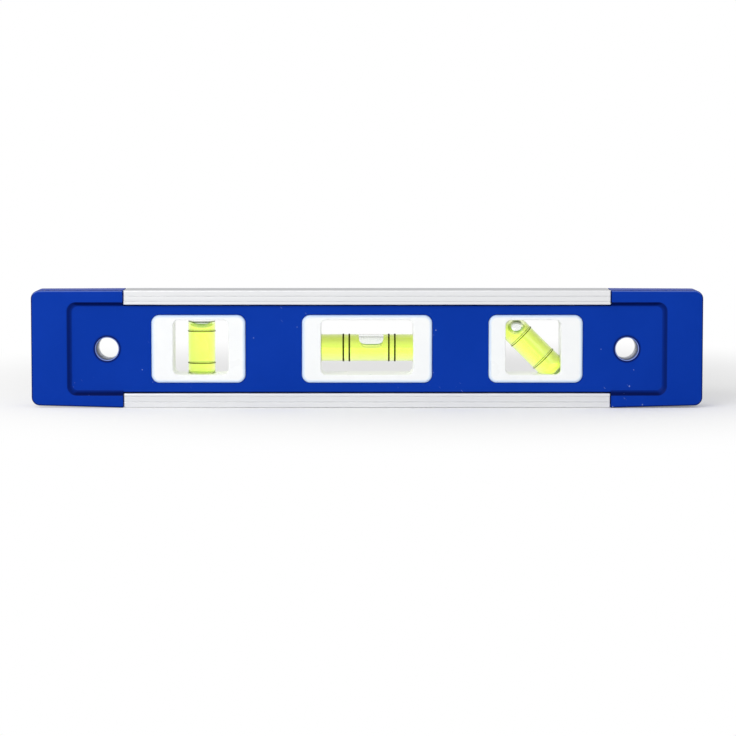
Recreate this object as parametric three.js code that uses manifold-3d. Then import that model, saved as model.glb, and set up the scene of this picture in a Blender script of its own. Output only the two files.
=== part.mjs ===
// A nine inch torpedo spirit level: a moulded body with an aluminium rail along the top
// and the base, and three vials, for level, plumb and forty-five degrees.
// Millimetres. X runs along the level, Y through its thickness with the front facing -Y,
// Z is up, and the origin is the centre of the base.

import * as THREE from "three";
import { mergeVertices } from "three/addons/utils/BufferGeometryUtils.js";
import Module from "manifold-3d";

const wasm = await Module();
wasm.setup();

// Overall size
const levelLength = 228.6;
const levelHeight = 40;
const levelThickness = 16;

// End blocks: solid ends of the body, relieved so that only the rail meets the work
const endBlockLength = 31.2;
const endCornerRadius = 3.1;
const endTopFall = 0.3;
const endBaseRise = 0.9;
const endFaceInset = 0.6;
const blockEdgeRound = 0.8;

// Recess: the web lies this far below the faces of the end blocks and rails
const recessDepth = 1.6;
const recessEndRim = 11.9;
const recessRim = 3.9;
const recessEndSlope = 2.2;
const recessTopSlope = 1.4;
const recessBaseSlope = 1.6;
const recessCornerRadius = 3.1;
const recessFloorRadius = 2;

// Rails: aluminium channels pushed over the tongues of the web
const railFlange = 4.9;
const railWall = 1.4;
const railEndGap = 0.3;
const railEdgeRound = 0.35;
const beadHeight = 0.8;
const beadDepth = 0.35;
const beadClearance = 0.25;
const shadowSlot = 0.45;
const scoreWidth = 0.36;
const scoreDepth = 0.12;
const outerScore = 1.65;
const innerScore = 3.75;

// Pipe groove along the base
const grooveWidth = 6.5;
const grooveDepth = 2.6;
const grooveFlat = 0.8;
const grooveClearance = 0.3;

// Hang holes
const hangHoleRadius = 4.12;
const hangHoleLip = 0.45;
const hangHoleFromEnd = 25.8;

// Surrounds: each vial is clamped between a front and a rear frame
const surroundHeight = 23.1;
const sideSurroundLength = 32;
const levelSurroundLength = 44.3;
const surroundCorner = 2.8;
const surroundProud = 0.7;
const surroundEdgeRound = 0.9;
const surroundPlate = 2.4;
const surroundLedge = 0.6;
const surroundClearance = 0.25;
const surroundSeam = 0.1;
const sideSurroundSpan = 114.8;

// Windows in the surrounds: they narrow from both faces to the middle
const windowRim = 2.2;
const sideWindowEndRim = 6.55;
const levelWindowEndRim = 6.4;
const windowCorner = 1.9;
const windowNarrowing = 0.6;
const windowChamfer = 0.3;
const windowRise = 0.5;
const sideWindowInset = 0.8;

// Vial barrels
const barrelRadius = 4.6;
const barrelWall = 1.1;
const boreCrown = 0.12;
const levelSeatWall = 3.75;
const plumbSeatWall = 1.55;
const slantSeatWall = 0.58;
const slantBarrelCut = 0.7;
const barrelEndRound = 0.8;
const boreEndRound = 0.7;
const barrelClosedWall = 1.2;
const barrelOpenWall = 1.5;
const seatClearance = 0.25;
const levelVialShift = 0.7;
const plumbVialShift = 0.3;
const slantDegrees = 45;

// Filling plugs
const plugRadius = 1.9;
const plugClearance = 0.1;
const plugSetBack = 0.2;

// Reading rings on the barrels
const ringWidth = 0.55;
const ringHeight = 0.2;
const ringClearance = 0.05;
const innerRingPlace = 6.75;
const outerRingPlace = 8.8;
const plumbRingFromEnd = 4.55;
const slantRingFromEnd = 6.95;

// Fluid and bubbles
const fluidFilm = 0.15;
const bubbleFilm = 0.3;
const bubbleGap = 0.2;
const levelBubbleHalf = 4.35;
const levelBubbleDepth = 3.7;
const levelBubbleSet = 0.7;
const levelBubbleSink = 0.5;
const plumbBubbleSpread = 0.2;
const plumbBubbleDepth = 2.5;
const slantBubbleHalf = 4.6;
const slantBubbleDepth = 3.3;
const slantBubbleRise = 3.1;

// How finely curves are cut, and how far a cutter runs past what it cuts
const cornerSteps = 4;
const edgeSteps = 2;
const roundSides = 24;
const holeSides = 32;
const bubbleRows = 10;
const crownSteps = 2;
const overrun = 1;
const weld = 1e-4;

// Sizes that follow from the ones above
const halfLength = levelLength / 2;
const halfThickness = levelThickness / 2;
const midHeight = levelHeight / 2;
const railHalfLength = halfLength - endBlockLength;
const webHalf = halfThickness - recessDepth;
const flangeInside = halfThickness - railWall;
const grooveShoulder = railWall / 2;
const boreRadius = barrelRadius - barrelWall;
const surroundFace = webHalf + surroundProud;
const sideSurroundX = sideSurroundSpan / 2;
const sideVialX = sideSurroundX - sideWindowInset;
const windowZ = midHeight + windowRise;
const windowHeight = surroundHeight - 2 * windowRim;
const hangHoleX = halfLength - hangHoleFromEnd;
const plumbBarrelHalf = surroundHeight / 2 - plumbSeatWall;
const slantCradle = surroundHeight / 2 - surroundLedge - slantSeatWall;
const slantDome = slantCradle - seatClearance - barrelRadius;
const slantBarrelHalf = barrelRadius + slantDome / Math.cos(THREE.MathUtils.degToRad(slantDegrees));
const plumbRing = plumbBarrelHalf - plumbRingFromEnd;
const slantRing = slantBarrelHalf - slantRingFromEnd;

const bluePlastic = { color: 0x15379b, roughness: 0.42, metalness: 0 };
const whitePlastic = { color: 0xf6f8f7, roughness: 0.4, metalness: 0 };
const aluminium = { color: 0xe2e3e6, roughness: 0.35, metalness: 1 };
const clearAcrylic = { color: 0xf2f6ee, roughness: 0.05, metalness: 0, transparent: true, opacity: 0.3 };
const stopperPlastic = { color: 0xdfe6d8, roughness: 0.3, metalness: 0 };
const fluidTint = { color: 0xe8fb52, roughness: 0.1, metalness: 0, transparent: true, opacity: 0.7 };
const ringInk = { color: 0x1d2408, roughness: 0.5, metalness: 0 };
const bubbleAir = { color: 0xf3faf0, roughness: 0.05, metalness: 0, transparent: true, opacity: 0.5 };

// A closed geometry as a solid that can be joined and cut, faces turned outward
function solidOf(geometry) {
  const bare = geometry.clone();
  bare.deleteAttribute("normal");
  bare.deleteAttribute("uv");
  const merged = mergeVertices(bare, weld);
  const source = merged.index.array;
  const triangles = [];
  for (let i = 0; i < source.length; i += 3) {
    const [a, b, c] = [source[i], source[i + 1], source[i + 2]];
    if (a !== b && b !== c && c !== a) {
      triangles.push(a, b, c);
    }
  }
  const places = merged.attributes.position.array;
  if (signedVolume(places, triangles) < 0) {
    triangles.reverse();
  }
  const mesh = new wasm.Mesh({
    numProp: 3,
    vertProperties: new Float32Array(places),
    triVerts: new Uint32Array(triangles),
  });
  return new wasm.Manifold(mesh);
}

function signedVolume(places, triangles) {
  const [a, b, c] = [new THREE.Vector3(), new THREE.Vector3(), new THREE.Vector3()];
  let volume = 0;
  for (let i = 0; i < triangles.length; i += 3) {
    a.fromArray(places, triangles[i] * 3);
    b.fromArray(places, triangles[i + 1] * 3);
    c.fromArray(places, triangles[i + 2] * 3);
    volume += a.dot(b.cross(c));
  }
  return volume;
}

// A finished solid as a named mesh with its own material
function meshOf(name, solid, look) {
  const shape = solid.getMesh();
  const geometry = new THREE.BufferGeometry();
  geometry.setAttribute("position", new THREE.BufferAttribute(shape.vertProperties, 3));
  geometry.setIndex(new THREE.BufferAttribute(shape.triVerts, 1));
  geometry.computeVertexNormals();
  const mesh = new THREE.Mesh(geometry, new THREE.MeshStandardMaterial(look));
  mesh.name = name;
  return mesh;
}

// The points of a closed outline whose corners [u, v, radius] are rounded
function roundedOutline(corners, steps) {
  const points = [];
  corners.forEach(([u, v, radius], i) => {
    const corner = new THREE.Vector2(u, v);
    const before = corners[(i + corners.length - 1) % corners.length];
    const after = corners[(i + 1) % corners.length];
    const back = new THREE.Vector2(before[0], before[1]).sub(corner).normalize();
    const ahead = new THREE.Vector2(after[0], after[1]).sub(corner).normalize();
    if (radius === 0) {
      points.push(corner);
      return;
    }
    const half = Math.acos(back.dot(ahead)) / 2;
    const middle = back.clone().add(ahead).normalize();
    const centre = corner.clone().addScaledVector(middle, radius / Math.sin(half));
    const start = corner.clone().addScaledVector(back, radius / Math.tan(half)).sub(centre);
    const end = corner.clone().addScaledVector(ahead, radius / Math.tan(half)).sub(centre);
    const turn = Math.atan2(start.cross(end), start.dot(end));
    for (let s = 0; s <= steps; s += 1) {
      points.push(start.clone().rotateAround(new THREE.Vector2(), (turn * s) / steps).add(centre));
    }
  });
  return points;
}

function rectangle(width, height, radius, grow = 0, centre = [0, 0]) {
  const [u, v] = [width / 2 + grow, height / 2 + grow];
  const corners = [
    [-u, -v],
    [u, -v],
    [u, v],
    [-u, v],
  ];
  return roundedOutline(
    corners.map(([a, b]) => [a + centre[0], b + centre[1], radius + grow]),
    cornerSteps,
  );
}

// An outline in X and Z pushed through Y, with rounded edges when edge is more than zero
function throughThickness(outline, fromY, toY, edge = 0, edgeWidth = edge) {
  const geometry = new THREE.ExtrudeGeometry(new THREE.Shape(outline), {
    depth: toY - fromY - 2 * edge,
    bevelEnabled: edge > 0,
    bevelThickness: edge,
    bevelSize: edgeWidth,
    bevelOffset: -edgeWidth,
    bevelSegments: edgeSteps,
  });
  geometry.rotateX(Math.PI / 2);
  geometry.translate(0, toY - edge, 0);
  return geometry;
}

// An outline in Y and Z pushed along X
function alongLength(outline, fromX, toX) {
  const geometry = new THREE.ExtrudeGeometry(new THREE.Shape(outline), {
    depth: toX - fromX,
    bevelEnabled: false,
  });
  const turn = new THREE.Matrix4().makeBasis(
    new THREE.Vector3(0, 1, 0),
    new THREE.Vector3(0, 0, 1),
    new THREE.Vector3(1, 0, 0),
  );
  geometry.applyMatrix4(turn);
  geometry.translate(fromX, 0, 0);
  return geometry;
}

// A skin through outlines of equal point counts that stand at different depths
function throughSections(sections) {
  const places = [];
  const triangles = [];
  const count = sections[0].outline.length;
  for (const { outline, y } of sections) {
    outline.forEach((point) => places.push(point.x, y, point.y));
  }
  for (let s = 0; s + 1 < sections.length; s += 1) {
    for (let i = 0; i < count; i += 1) {
      const [a, b] = [s * count + i, s * count + ((i + 1) % count)];
      triangles.push(a, b, b + count, a, b + count, a + count);
    }
  }
  const last = (sections.length - 1) * count;
  for (let i = 1; i + 1 < count; i += 1) {
    triangles.push(0, i + 1, i, last, last + i, last + i + 1);
  }
  const geometry = new THREE.BufferGeometry();
  geometry.setAttribute("position", new THREE.Float32BufferAttribute(places, 3));
  geometry.setIndex(triangles);
  return geometry;
}

// The points of a quarter or other arc in a lathe profile, as [radius, height]
function arc(centreRadius, centreHeight, radius, fromAngle, toAngle, steps) {
  const points = [];
  for (let s = 0; s <= steps; s += 1) {
    const angle = fromAngle + ((toAngle - fromAngle) * s) / steps;
    points.push([centreRadius + radius * Math.cos(angle), centreHeight + radius * Math.sin(angle)]);
  }
  return points;
}

// A lathe profile of [radius, height] turned about the Z axis
function turned(profile, sides) {
  const points = profile.map(([radius, height]) => new THREE.Vector2(Math.max(radius, 0), height));
  const geometry = new THREE.LatheGeometry(points, sides);
  geometry.rotateX(Math.PI / 2);
  return geometry;
}

// One end block, on the right when side is 1 and on the left when it is -1
function endBlock(side) {
  const inner = railHalfLength;
  const outline = roundedOutline(
    [
      [side * inner, 0, 0],
      [side * halfLength, endBaseRise, endCornerRadius],
      [side * halfLength, levelHeight - endTopFall, endCornerRadius],
      [side * inner, levelHeight, 0],
    ],
    cornerSteps,
  );
  const geometry = throughThickness(outline, -halfThickness, halfThickness, blockEdgeRound);
  const place = geometry.attributes.position;
  for (let i = 0; i < place.count; i += 1) {
    const along = (Math.abs(place.getX(i)) - inner) / endBlockLength;
    place.setY(i, place.getY(i) * (1 - (endFaceInset / halfThickness) * along));
  }
  return solidOf(geometry);
}

// The cutter of one recess: its walls slope down to the web
function recess(side) {
  const height = levelHeight - 2 * recessRim;
  const outlineAt = (share) => {
    const length = levelLength - 2 * (recessEndRim + recessEndSlope * share);
    const base = midHeight - height / 2 + recessBaseSlope * share;
    const top = midHeight + height / 2 - recessTopSlope * share;
    const radius = recessCornerRadius + (recessFloorRadius - recessCornerRadius) * share;
    return rectangle(length, top - base, radius, 0, [0, (top + base) / 2]);
  };
  const pastShare = -overrun / recessDepth;
  return solidOf(
    throughSections([
      { outline: outlineAt(pastShare), y: side * (halfThickness + overrun) },
      { outline: outlineAt(1), y: side * webHalf },
    ]),
  );
}

// The two sides of the pipe groove, widened by grow, from the level of its mouth to its bottom
function grooveOutline(mouth, bottom, grow) {
  const slope = (grooveWidth - grooveFlat) / 2 / grooveDepth;
  const wide = grooveFlat / 2 + grow + slope * (bottom - mouth + overrun);
  const narrow = grooveFlat / 2 + grow;
  return [
    new THREE.Vector2(-wide, mouth - overrun),
    new THREE.Vector2(wide, mouth - overrun),
    new THREE.Vector2(narrow, bottom),
    new THREE.Vector2(-narrow, bottom),
  ];
}

// A hang hole cutter with a rounded lip at each face of the web
function hangHole(x) {
  const lip = hangHoleRadius + hangHoleLip;
  const inside = webHalf - hangHoleLip;
  const profile = [
    [0, -webHalf - overrun],
    [lip, -webHalf - overrun],
    ...arc(lip, -inside, hangHoleLip, (3 * Math.PI) / 2, Math.PI, edgeSteps),
    ...arc(lip, inside, hangHoleLip, Math.PI, Math.PI / 2, edgeSteps),
    [lip, webHalf + overrun],
    [0, webHalf + overrun],
  ];
  const geometry = turned(profile, holeSides);
  geometry.rotateX(Math.PI / 2);
  geometry.translate(x, 0, midHeight);
  return solidOf(geometry);
}

// The pocket that one pair of surrounds fills: a wide mouth in each face and a ledge between
function surroundPocket(x, length) {
  const centre = [x, midHeight];
  const ledge = surroundFace - surroundPlate;
  const mouth = rectangle(length, surroundHeight, surroundCorner, surroundClearance, centre);
  const core = rectangle(
    length,
    surroundHeight,
    surroundCorner,
    surroundClearance - surroundLedge,
    centre,
  );
  const through = solidOf(throughThickness(core, -webHalf - overrun, webHalf + overrun));
  const front = solidOf(throughThickness(mouth, -webHalf - overrun, -ledge));
  const rear = solidOf(throughThickness(mouth, ledge, webHalf + overrun));
  return through.add(front).add(rear);
}

// The long slot in one side of a tongue that takes the bead of a rail and shades its edge
function beadSlot(side, top) {
  const floor = flangeInside - beadDepth - beadClearance;
  const low = railFlange - beadHeight - beadDepth - beadClearance;
  const high = railFlange + shadowSlot;
  const place = (z) => (top ? levelHeight - z : z);
  const outline = [
    new THREE.Vector2(side * floor, place(low)),
    new THREE.Vector2(side * (webHalf + overrun), place(low)),
    new THREE.Vector2(side * (webHalf + overrun), place(high)),
    new THREE.Vector2(side * floor, place(high)),
  ];
  return solidOf(alongLength(outline, -railHalfLength, railHalfLength));
}

function body() {
  const plate = rectangle(
    2 * (railHalfLength + overrun),
    levelHeight - 2 * railWall,
    0,
    0,
    [0, midHeight],
  );
  let solid = endBlock(1).add(endBlock(-1));
  solid = solid.subtract(recess(1)).subtract(recess(-1));
  solid = solid.add(solidOf(throughThickness(plate, -webHalf, webHalf)));
  for (const side of [-1, 1]) {
    const outerGroove = alongLength(
      grooveOutline(0, grooveDepth, 0),
      side * railHalfLength,
      side * (halfLength + overrun),
    );
    solid = solid.subtract(solidOf(outerGroove));
    solid = solid.subtract(hangHole(side * hangHoleX));
    solid = solid.subtract(beadSlot(side, true)).subtract(beadSlot(side, false));
  }
  const ridge = grooveOutline(
    railWall,
    grooveDepth + railWall + grooveClearance,
    grooveShoulder + grooveClearance,
  );
  solid = solid.subtract(solidOf(alongLength(ridge, -railHalfLength, railHalfLength)));
  for (const { x, length } of [plumb, level, slant]) {
    solid = solid.subtract(surroundPocket(x, length));
  }
  return meshOf("body", solid, bluePlastic);
}

// Half of a rail's section, as [y, distance from its outer face], from the middle outward
// and back along the inside
function railHalf(grooved) {
  const outside = [[halfThickness - railEdgeRound, 0], [halfThickness, railEdgeRound]];
  for (const score of [outerScore, innerScore]) {
    outside.push([halfThickness, score - scoreWidth / 2]);
    outside.push([halfThickness - scoreDepth, score]);
    outside.push([halfThickness, score + scoreWidth / 2]);
  }
  const beadFace = flangeInside - beadDepth;
  const lip = [
    [halfThickness, railFlange - railEdgeRound],
    [halfThickness - railEdgeRound, railFlange],
    [beadFace, railFlange],
    [beadFace, railFlange - beadHeight],
    [flangeInside, railFlange - beadHeight - beadDepth],
    [flangeInside, railWall],
  ];
  if (!grooved) {
    return [[0, 0], ...outside, ...lip, [0, railWall]];
  }
  const mouth = [
    [0, grooveDepth],
    [grooveFlat / 2, grooveDepth],
    [grooveWidth / 2, 0],
  ];
  const ridge = [
    [grooveWidth / 2 + grooveShoulder, railWall],
    [grooveFlat / 2 + grooveShoulder, grooveDepth + railWall],
    [0, grooveDepth + railWall],
  ];
  return [...mouth, ...outside, ...lip, ...ridge];
}

function rail(name, top) {
  const half = railHalf(!top);
  const mirrored = half.slice(1, -1).map(([y, depth]) => [-y, depth]);
  const section = [...half, ...mirrored.reverse()].map(
    ([y, depth]) => new THREE.Vector2(y, top ? levelHeight - depth : depth),
  );
  const reach = railHalfLength - railEndGap;
  return meshOf(name, solidOf(alongLength(section, -reach, reach)), aluminium);
}

// The outside of a barrel, grown all round by grow, from its open end up to its closed end.
// The ends are rounded, and a barrel with a full dome is cut flat round its plug.
function barrelOutside(vial, grow) {
  const radius = barrelRadius + grow;
  const round = vial.round + grow;
  const base = -vial.half + vial.cut - grow;
  const shoulder = vial.half - vial.round;
  const cutAngle = Math.asin(Math.min(1, (-base - shoulder) / round));
  return [
    [0, base],
    ...arc(radius - round, -shoulder, round, -cutAngle, 0, cornerSteps + 1),
    ...arc(radius - round, shoulder, round, 0, Math.PI / 2, cornerSteps + 1),
    [0, vial.half + grow],
  ];
}

// The bore, shrunk all round by film: widest at its middle, so that the bubble comes to rest
function boreInside(vial, film) {
  const closed = vial.half - vial.closedWall - film;
  const open = -vial.half + vial.cut + barrelOpenWall + film;
  const round = vial.boreRound;
  const radius = boreRadius - film;
  const top = closed - round;
  const crown = [];
  for (let s = 1; s < crownSteps; s += 1) {
    const height = open + ((top - open) * s) / crownSteps;
    const share = (2 * s) / crownSteps - 1;
    crown.push([radius - boreCrown * share * share, height]);
  }
  const end = radius - boreCrown;
  return [
    [end, open],
    ...crown,
    ...arc(end - Math.min(round, end), top, Math.min(round, end), 0, Math.PI / 2, cornerSteps),
    [0, closed - round + Math.min(round, end)],
  ];
}

function barrel(vial) {
  const hole = plugRadius + plugClearance;
  const base = -vial.half + vial.cut;
  const bore = boreInside(vial, 0);
  const outside = barrelOutside(vial, 0);
  const profile = [
    [hole, base],
    ...outside.slice(1),
    ...bore.slice().reverse(),
    [hole, base + barrelOpenWall],
    [hole, base],
  ];
  return meshOf(`${vial.name}_vial_barrel`, solidOf(turned(profile, roundSides)), clearAcrylic);
}

function plug(vial) {
  const base = -vial.half + vial.cut;
  const profile = [
    [0, base + plugSetBack],
    [plugRadius, base + plugSetBack],
    [plugRadius, base + barrelOpenWall],
    [0, base + barrelOpenWall],
  ];
  return meshOf(`${vial.name}_vial_plug`, solidOf(turned(profile, roundSides)), stopperPlastic);
}

function rings(vial) {
  const inner = barrelRadius + ringClearance;
  return vial.rings.map((place, i) => {
    const [low, high] = [place - ringWidth / 2, place + ringWidth / 2];
    const profile = [
      [inner, low],
      [inner + ringHeight, low],
      [inner + ringHeight, high],
      [inner, high],
      [inner, low],
    ];
    return meshOf(`${vial.name}_ring_${i + 1}`, solidOf(turned(profile, roundSides)), ringInk);
  });
}

// The space of a bubble before the bore trims it: a squashed ball that stays upright in the
// level, whatever the angle of its vial
function ball(vial, grow) {
  const { long, deep, tall, x, z } = vial.bubble;
  const geometry = new THREE.SphereGeometry(1, roundSides, bubbleRows);
  geometry.rotateX(Math.PI / 2);
  geometry.scale(long + grow, deep + grow, tall + grow);
  geometry.translate(x, 0, z);
  geometry.rotateY(-THREE.MathUtils.degToRad(vial.turn));
  return solidOf(geometry);
}

function bubbleAndFluid(vial) {
  const bore = (film) => {
    const inside = boreInside(vial, film);
    return solidOf(turned([[0, inside[0][1]], ...inside], roundSides));
  };
  const air = bore(bubbleFilm).intersect(ball(vial, 0));
  const fluid = bore(fluidFilm).subtract(ball(vial, bubbleGap));
  return [
    meshOf(`${vial.name}_bubble`, air, bubbleAir),
    meshOf(`${vial.name}_fluid`, fluid, fluidTint),
  ];
}

// One vial: built upright about its own axis, then turned to its angle
function vialGroup(vial) {
  const group = new THREE.Group();
  group.position.set(vial.vialX, 0, vial.vialZ);
  group.rotation.y = THREE.MathUtils.degToRad(vial.turn);
  group.add(barrel(vial), plug(vial), ...rings(vial), ...bubbleAndFluid(vial));
  return group;
}

// The window through a pair of surrounds: a small chamfer at each face, drafted to the middle
function windowCutter(vial) {
  const at = (y, grow) => ({
    outline: rectangle(vial.window, windowHeight, windowCorner, grow, [vial.vialX - vial.shift, windowZ]),
    y,
  });
  const edge = surroundFace - windowChamfer;
  return solidOf(
    throughSections([
      at(-surroundFace - overrun, windowChamfer + overrun),
      at(-edge, 0),
      at(0, -windowNarrowing),
      at(edge, 0),
      at(surroundFace + overrun, windowChamfer + overrun),
    ]),
  );
}

// The front frame when side is -1, the rear one when it is 1
function surround(vial, side) {
  const centre = [vial.x, midHeight];
  const ledge = surroundFace - surroundPlate;
  const outer = rectangle(vial.length, surroundHeight, surroundCorner, 0, centre);
  const inner = rectangle(vial.length, surroundHeight, surroundCorner, -surroundLedge, centre);
  const face = throughThickness(
    outer,
    -surroundFace,
    surroundFace,
    surroundProud,
    surroundEdgeRound,
  );
  const reach = 2 * surroundFace;
  const slice = rectangle(2 * vial.length, 2 * surroundHeight, 0, 0, centre);
  const plate = solidOf(face).intersect(
    solidOf(throughThickness(slice, ...inOrder(side * ledge, side * reach))),
  );
  const core = solidOf(
    throughThickness(inner, ...inOrder((side * surroundSeam) / 2, side * (ledge + overrun))),
  );
  const seat = turned(barrelOutside(vial, seatClearance), roundSides);
  seat.rotateY(THREE.MathUtils.degToRad(vial.turn));
  seat.translate(vial.vialX, 0, vial.vialZ);
  const frame = plate.add(core).subtract(windowCutter(vial)).subtract(solidOf(seat));
  const where = side < 0 ? "front" : "rear";
  return meshOf(`${vial.name}_surround_${where}`, frame, whitePlastic);
}

function inOrder(a, b) {
  return a < b ? [a, b] : [b, a];
}

// What sets the three vials apart. A bubble's place is counted from the middle of its vial,
// and turn is how far the vial's closed end leans over from upright towards +X.
const level = {
  name: "level",
  x: 0,
  length: levelSurroundLength,
  window: levelSurroundLength - 2 * levelWindowEndRim,
  shift: levelVialShift,
  vialX: levelVialShift,
  vialZ: midHeight,
  turn: 90,
  half: levelSurroundLength / 2 - levelSeatWall,
  round: barrelEndRound,
  cut: 0,
  closedWall: barrelClosedWall,
  boreRound: boreEndRound,
  rings: [-outerRingPlace, -innerRingPlace, innerRingPlace, outerRingPlace],
  bubble: {
    x: levelBubbleSet,
    z: boreRadius - levelBubbleSink,
    long: levelBubbleHalf,
    deep: boreRadius,
    tall: levelBubbleDepth - levelBubbleSink,
  },
};

const plumb = {
  name: "plumb",
  x: -sideSurroundX,
  length: sideSurroundLength,
  window: sideSurroundLength - 2 * sideWindowEndRim,
  shift: 0,
  vialX: -sideVialX,
  vialZ: midHeight + plumbVialShift,
  turn: 0,
  half: plumbBarrelHalf,
  round: barrelEndRound,
  cut: 0,
  closedWall: barrelClosedWall,
  boreRound: boreEndRound,
  rings: [-plumbRing, plumbRing],
  bubble: {
    x: 0,
    z: plumbBarrelHalf - barrelClosedWall,
    long: boreRadius + plumbBubbleSpread,
    deep: boreRadius + plumbBubbleSpread,
    tall: plumbBubbleDepth,
  },
};

const slant = {
  name: "angle",
  x: sideSurroundX,
  length: sideSurroundLength,
  window: sideSurroundLength - 2 * sideWindowEndRim,
  shift: 0,
  vialX: sideVialX,
  vialZ: midHeight,
  turn: -slantDegrees,
  half: slantBarrelHalf,
  round: barrelRadius,
  cut: slantBarrelCut,
  closedWall: barrelClosedWall,
  boreRound: boreRadius,
  rings: [-slantRing, slantRing],
  bubble: {
    x: -slantDome,
    z: slantDome + slantBubbleRise,
    long: slantBubbleHalf,
    deep: boreRadius,
    tall: slantBubbleDepth,
  },
};

const group = new THREE.Group();
group.add(body(), rail("top_rail", true), rail("base_rail", false));
for (const vial of [plumb, level, slant]) {
  group.add(surround(vial, -1), surround(vial, 1), vialGroup(vial));
}

export default group;
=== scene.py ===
# %% [markdown]
# # A torpedo spirit level
#
# This lesson dresses a small spirit level for its picture. Every piece already exists as a
# plain solid at its real size, and those solids stay the frame: what is modelled here sits
# exactly where they are, moves with the same bodies, and only adds what a close look would
# show, such as rounded edges, drawn aluminium, clear tubes and a liquid that bends light.

# %% The frame
import functools
import math

import bmesh
import bpy
from mathutils import Matrix, Vector


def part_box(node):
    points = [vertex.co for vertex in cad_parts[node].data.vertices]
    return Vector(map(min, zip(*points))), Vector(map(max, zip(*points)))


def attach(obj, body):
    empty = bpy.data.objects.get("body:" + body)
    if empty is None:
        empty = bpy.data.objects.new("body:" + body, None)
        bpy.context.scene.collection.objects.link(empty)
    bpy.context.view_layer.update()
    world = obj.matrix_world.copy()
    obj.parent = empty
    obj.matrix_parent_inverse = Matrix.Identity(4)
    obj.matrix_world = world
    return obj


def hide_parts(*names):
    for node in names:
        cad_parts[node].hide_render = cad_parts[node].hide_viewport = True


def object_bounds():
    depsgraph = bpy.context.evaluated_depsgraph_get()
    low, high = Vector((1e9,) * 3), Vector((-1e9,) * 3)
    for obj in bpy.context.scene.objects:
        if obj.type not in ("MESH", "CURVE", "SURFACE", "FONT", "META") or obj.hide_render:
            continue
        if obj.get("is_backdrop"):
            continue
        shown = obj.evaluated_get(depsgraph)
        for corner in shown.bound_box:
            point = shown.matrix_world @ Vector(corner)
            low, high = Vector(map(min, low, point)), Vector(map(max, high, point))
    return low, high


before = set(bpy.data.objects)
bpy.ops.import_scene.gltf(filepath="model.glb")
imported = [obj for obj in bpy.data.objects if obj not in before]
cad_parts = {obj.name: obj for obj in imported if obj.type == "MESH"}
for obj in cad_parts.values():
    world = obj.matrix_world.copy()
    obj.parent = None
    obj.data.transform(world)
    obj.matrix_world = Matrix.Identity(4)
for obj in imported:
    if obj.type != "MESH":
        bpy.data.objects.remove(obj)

cad_low, cad_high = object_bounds()
mm = 0.001
print(f"the level is {(cad_high.x - cad_low.x) / mm:.1f} mm long")

# %% [markdown]
# ## The camera
#
# The photograph was taken from a metre away with a long lens, a little above the level, so
# that a thin strip of the top shows. A long lens keeps the two ends almost free of
# perspective. The camera is set first, because it decides how fine each detail has to be:
# one pixel of the picture is about a third of a millimetre on the front face.

# %% Camera
camera_place = Vector((0, -0.968, 0.092))
camera_aim = Vector((0.00033, -0.008, 0.0136))
camera_lens = 138.51
camera_sensor = 36


def look_at(holder, target):
    """Turns a camera or a lamp towards a point."""
    holder.rotation_euler = (target - holder.location).to_track_quat("-Z", "Y").to_euler()


def loose(name, data):
    """An object in the scene that holds a mesh, a lamp or a camera."""
    made = bpy.data.objects.new(name, data)
    bpy.context.scene.collection.objects.link(made)
    return made


camera = loose("camera", bpy.data.cameras.new("camera"))
camera.location = camera_place
look_at(camera, camera_aim)
camera.data.lens = camera_lens
camera.data.sensor_width = camera_sensor
bpy.context.scene.camera = camera
print(f"the camera stands {(camera_aim - camera_place).length:.2f} m away")

# %% [markdown]
# ## Building node trees
#
# Materials, the world and the Geometry Nodes trees are all nodes joined by links. One small
# helper places a node, sets its options and fills its sockets. A socket is named by its
# identifier, because some nodes have several sockets with the same label, and a value that
# is itself an output socket becomes a link.

# %% A helper for nodes
node_spacing = 190


def fill(socket, value):
    """Links an output to a socket, or gives the socket a plain value."""
    if isinstance(value, bpy.types.NodeSocket):
        socket.id_data.links.new(value, socket)
    else:
        socket.default_value = value


def put(tree, kind, sockets=None, **options):
    """Places a node, sets its options, and fills its sockets with values or links."""
    node = tree.nodes.new(kind)
    node.location = (node_spacing * len(tree.nodes), 0)
    for name, value in options.items():
        setattr(node, name, value)
    for name, value in (sockets or {}).items():
        fill(next(s for s in node.inputs if s.identifier == name), value)
    return node


def fill_named(node, **values):
    """Fills the sockets of a node that are given by label, with _ for a space."""
    for name, value in values.items():
        fill(node.inputs[name.replace("_", " ")], value)


print("helpers: fill, put, fill_named")

# %% [markdown]
# Most effects are a little arithmetic on masks, values from 0 to 1 that say where a colour
# goes. So each step of it gets a short name here: a product keeps what two masks share, the
# larger of two keeps both, and a ramp turns a distance into a soft edge.

# %% Arithmetic with nodes
def math_node(operation, first, second=0.0, clamp=False):
    """The output of a Math node, of which at least one value is a socket."""
    tree = next(v.id_data for v in (first, second) if isinstance(v, bpy.types.NodeSocket))
    sockets = {"Value": first, "Value_001": second}
    return put(tree, "ShaderNodeMath", sockets, operation=operation, use_clamp=clamp).outputs[0]


def times(*values):
    """The product of two or more values."""
    return functools.reduce(functools.partial(math_node, "MULTIPLY"), values)


def plus(*values):
    """The sum of two or more values."""
    return functools.reduce(functools.partial(math_node, "ADD"), values)


minus = functools.partial(math_node, "SUBTRACT")
larger = functools.partial(math_node, "MAXIMUM")
under = functools.partial(math_node, "LESS_THAN")
over = functools.partial(math_node, "GREATER_THAN")
size_of = functools.partial(math_node, "ABSOLUTE")


def ramp(value, low, high, to_low=0.0, to_high=1.0):
    """A smooth step: to_low where the value is under low, to_high where it is over high."""
    sockets = {"Value": value, "From Min": low, "From Max": high, "To Min": to_low, "To Max": to_high}
    node = put(value.id_data, "ShaderNodeMapRange", sockets, interpolation_type="SMOOTHSTEP")
    return node.outputs[0]


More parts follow.
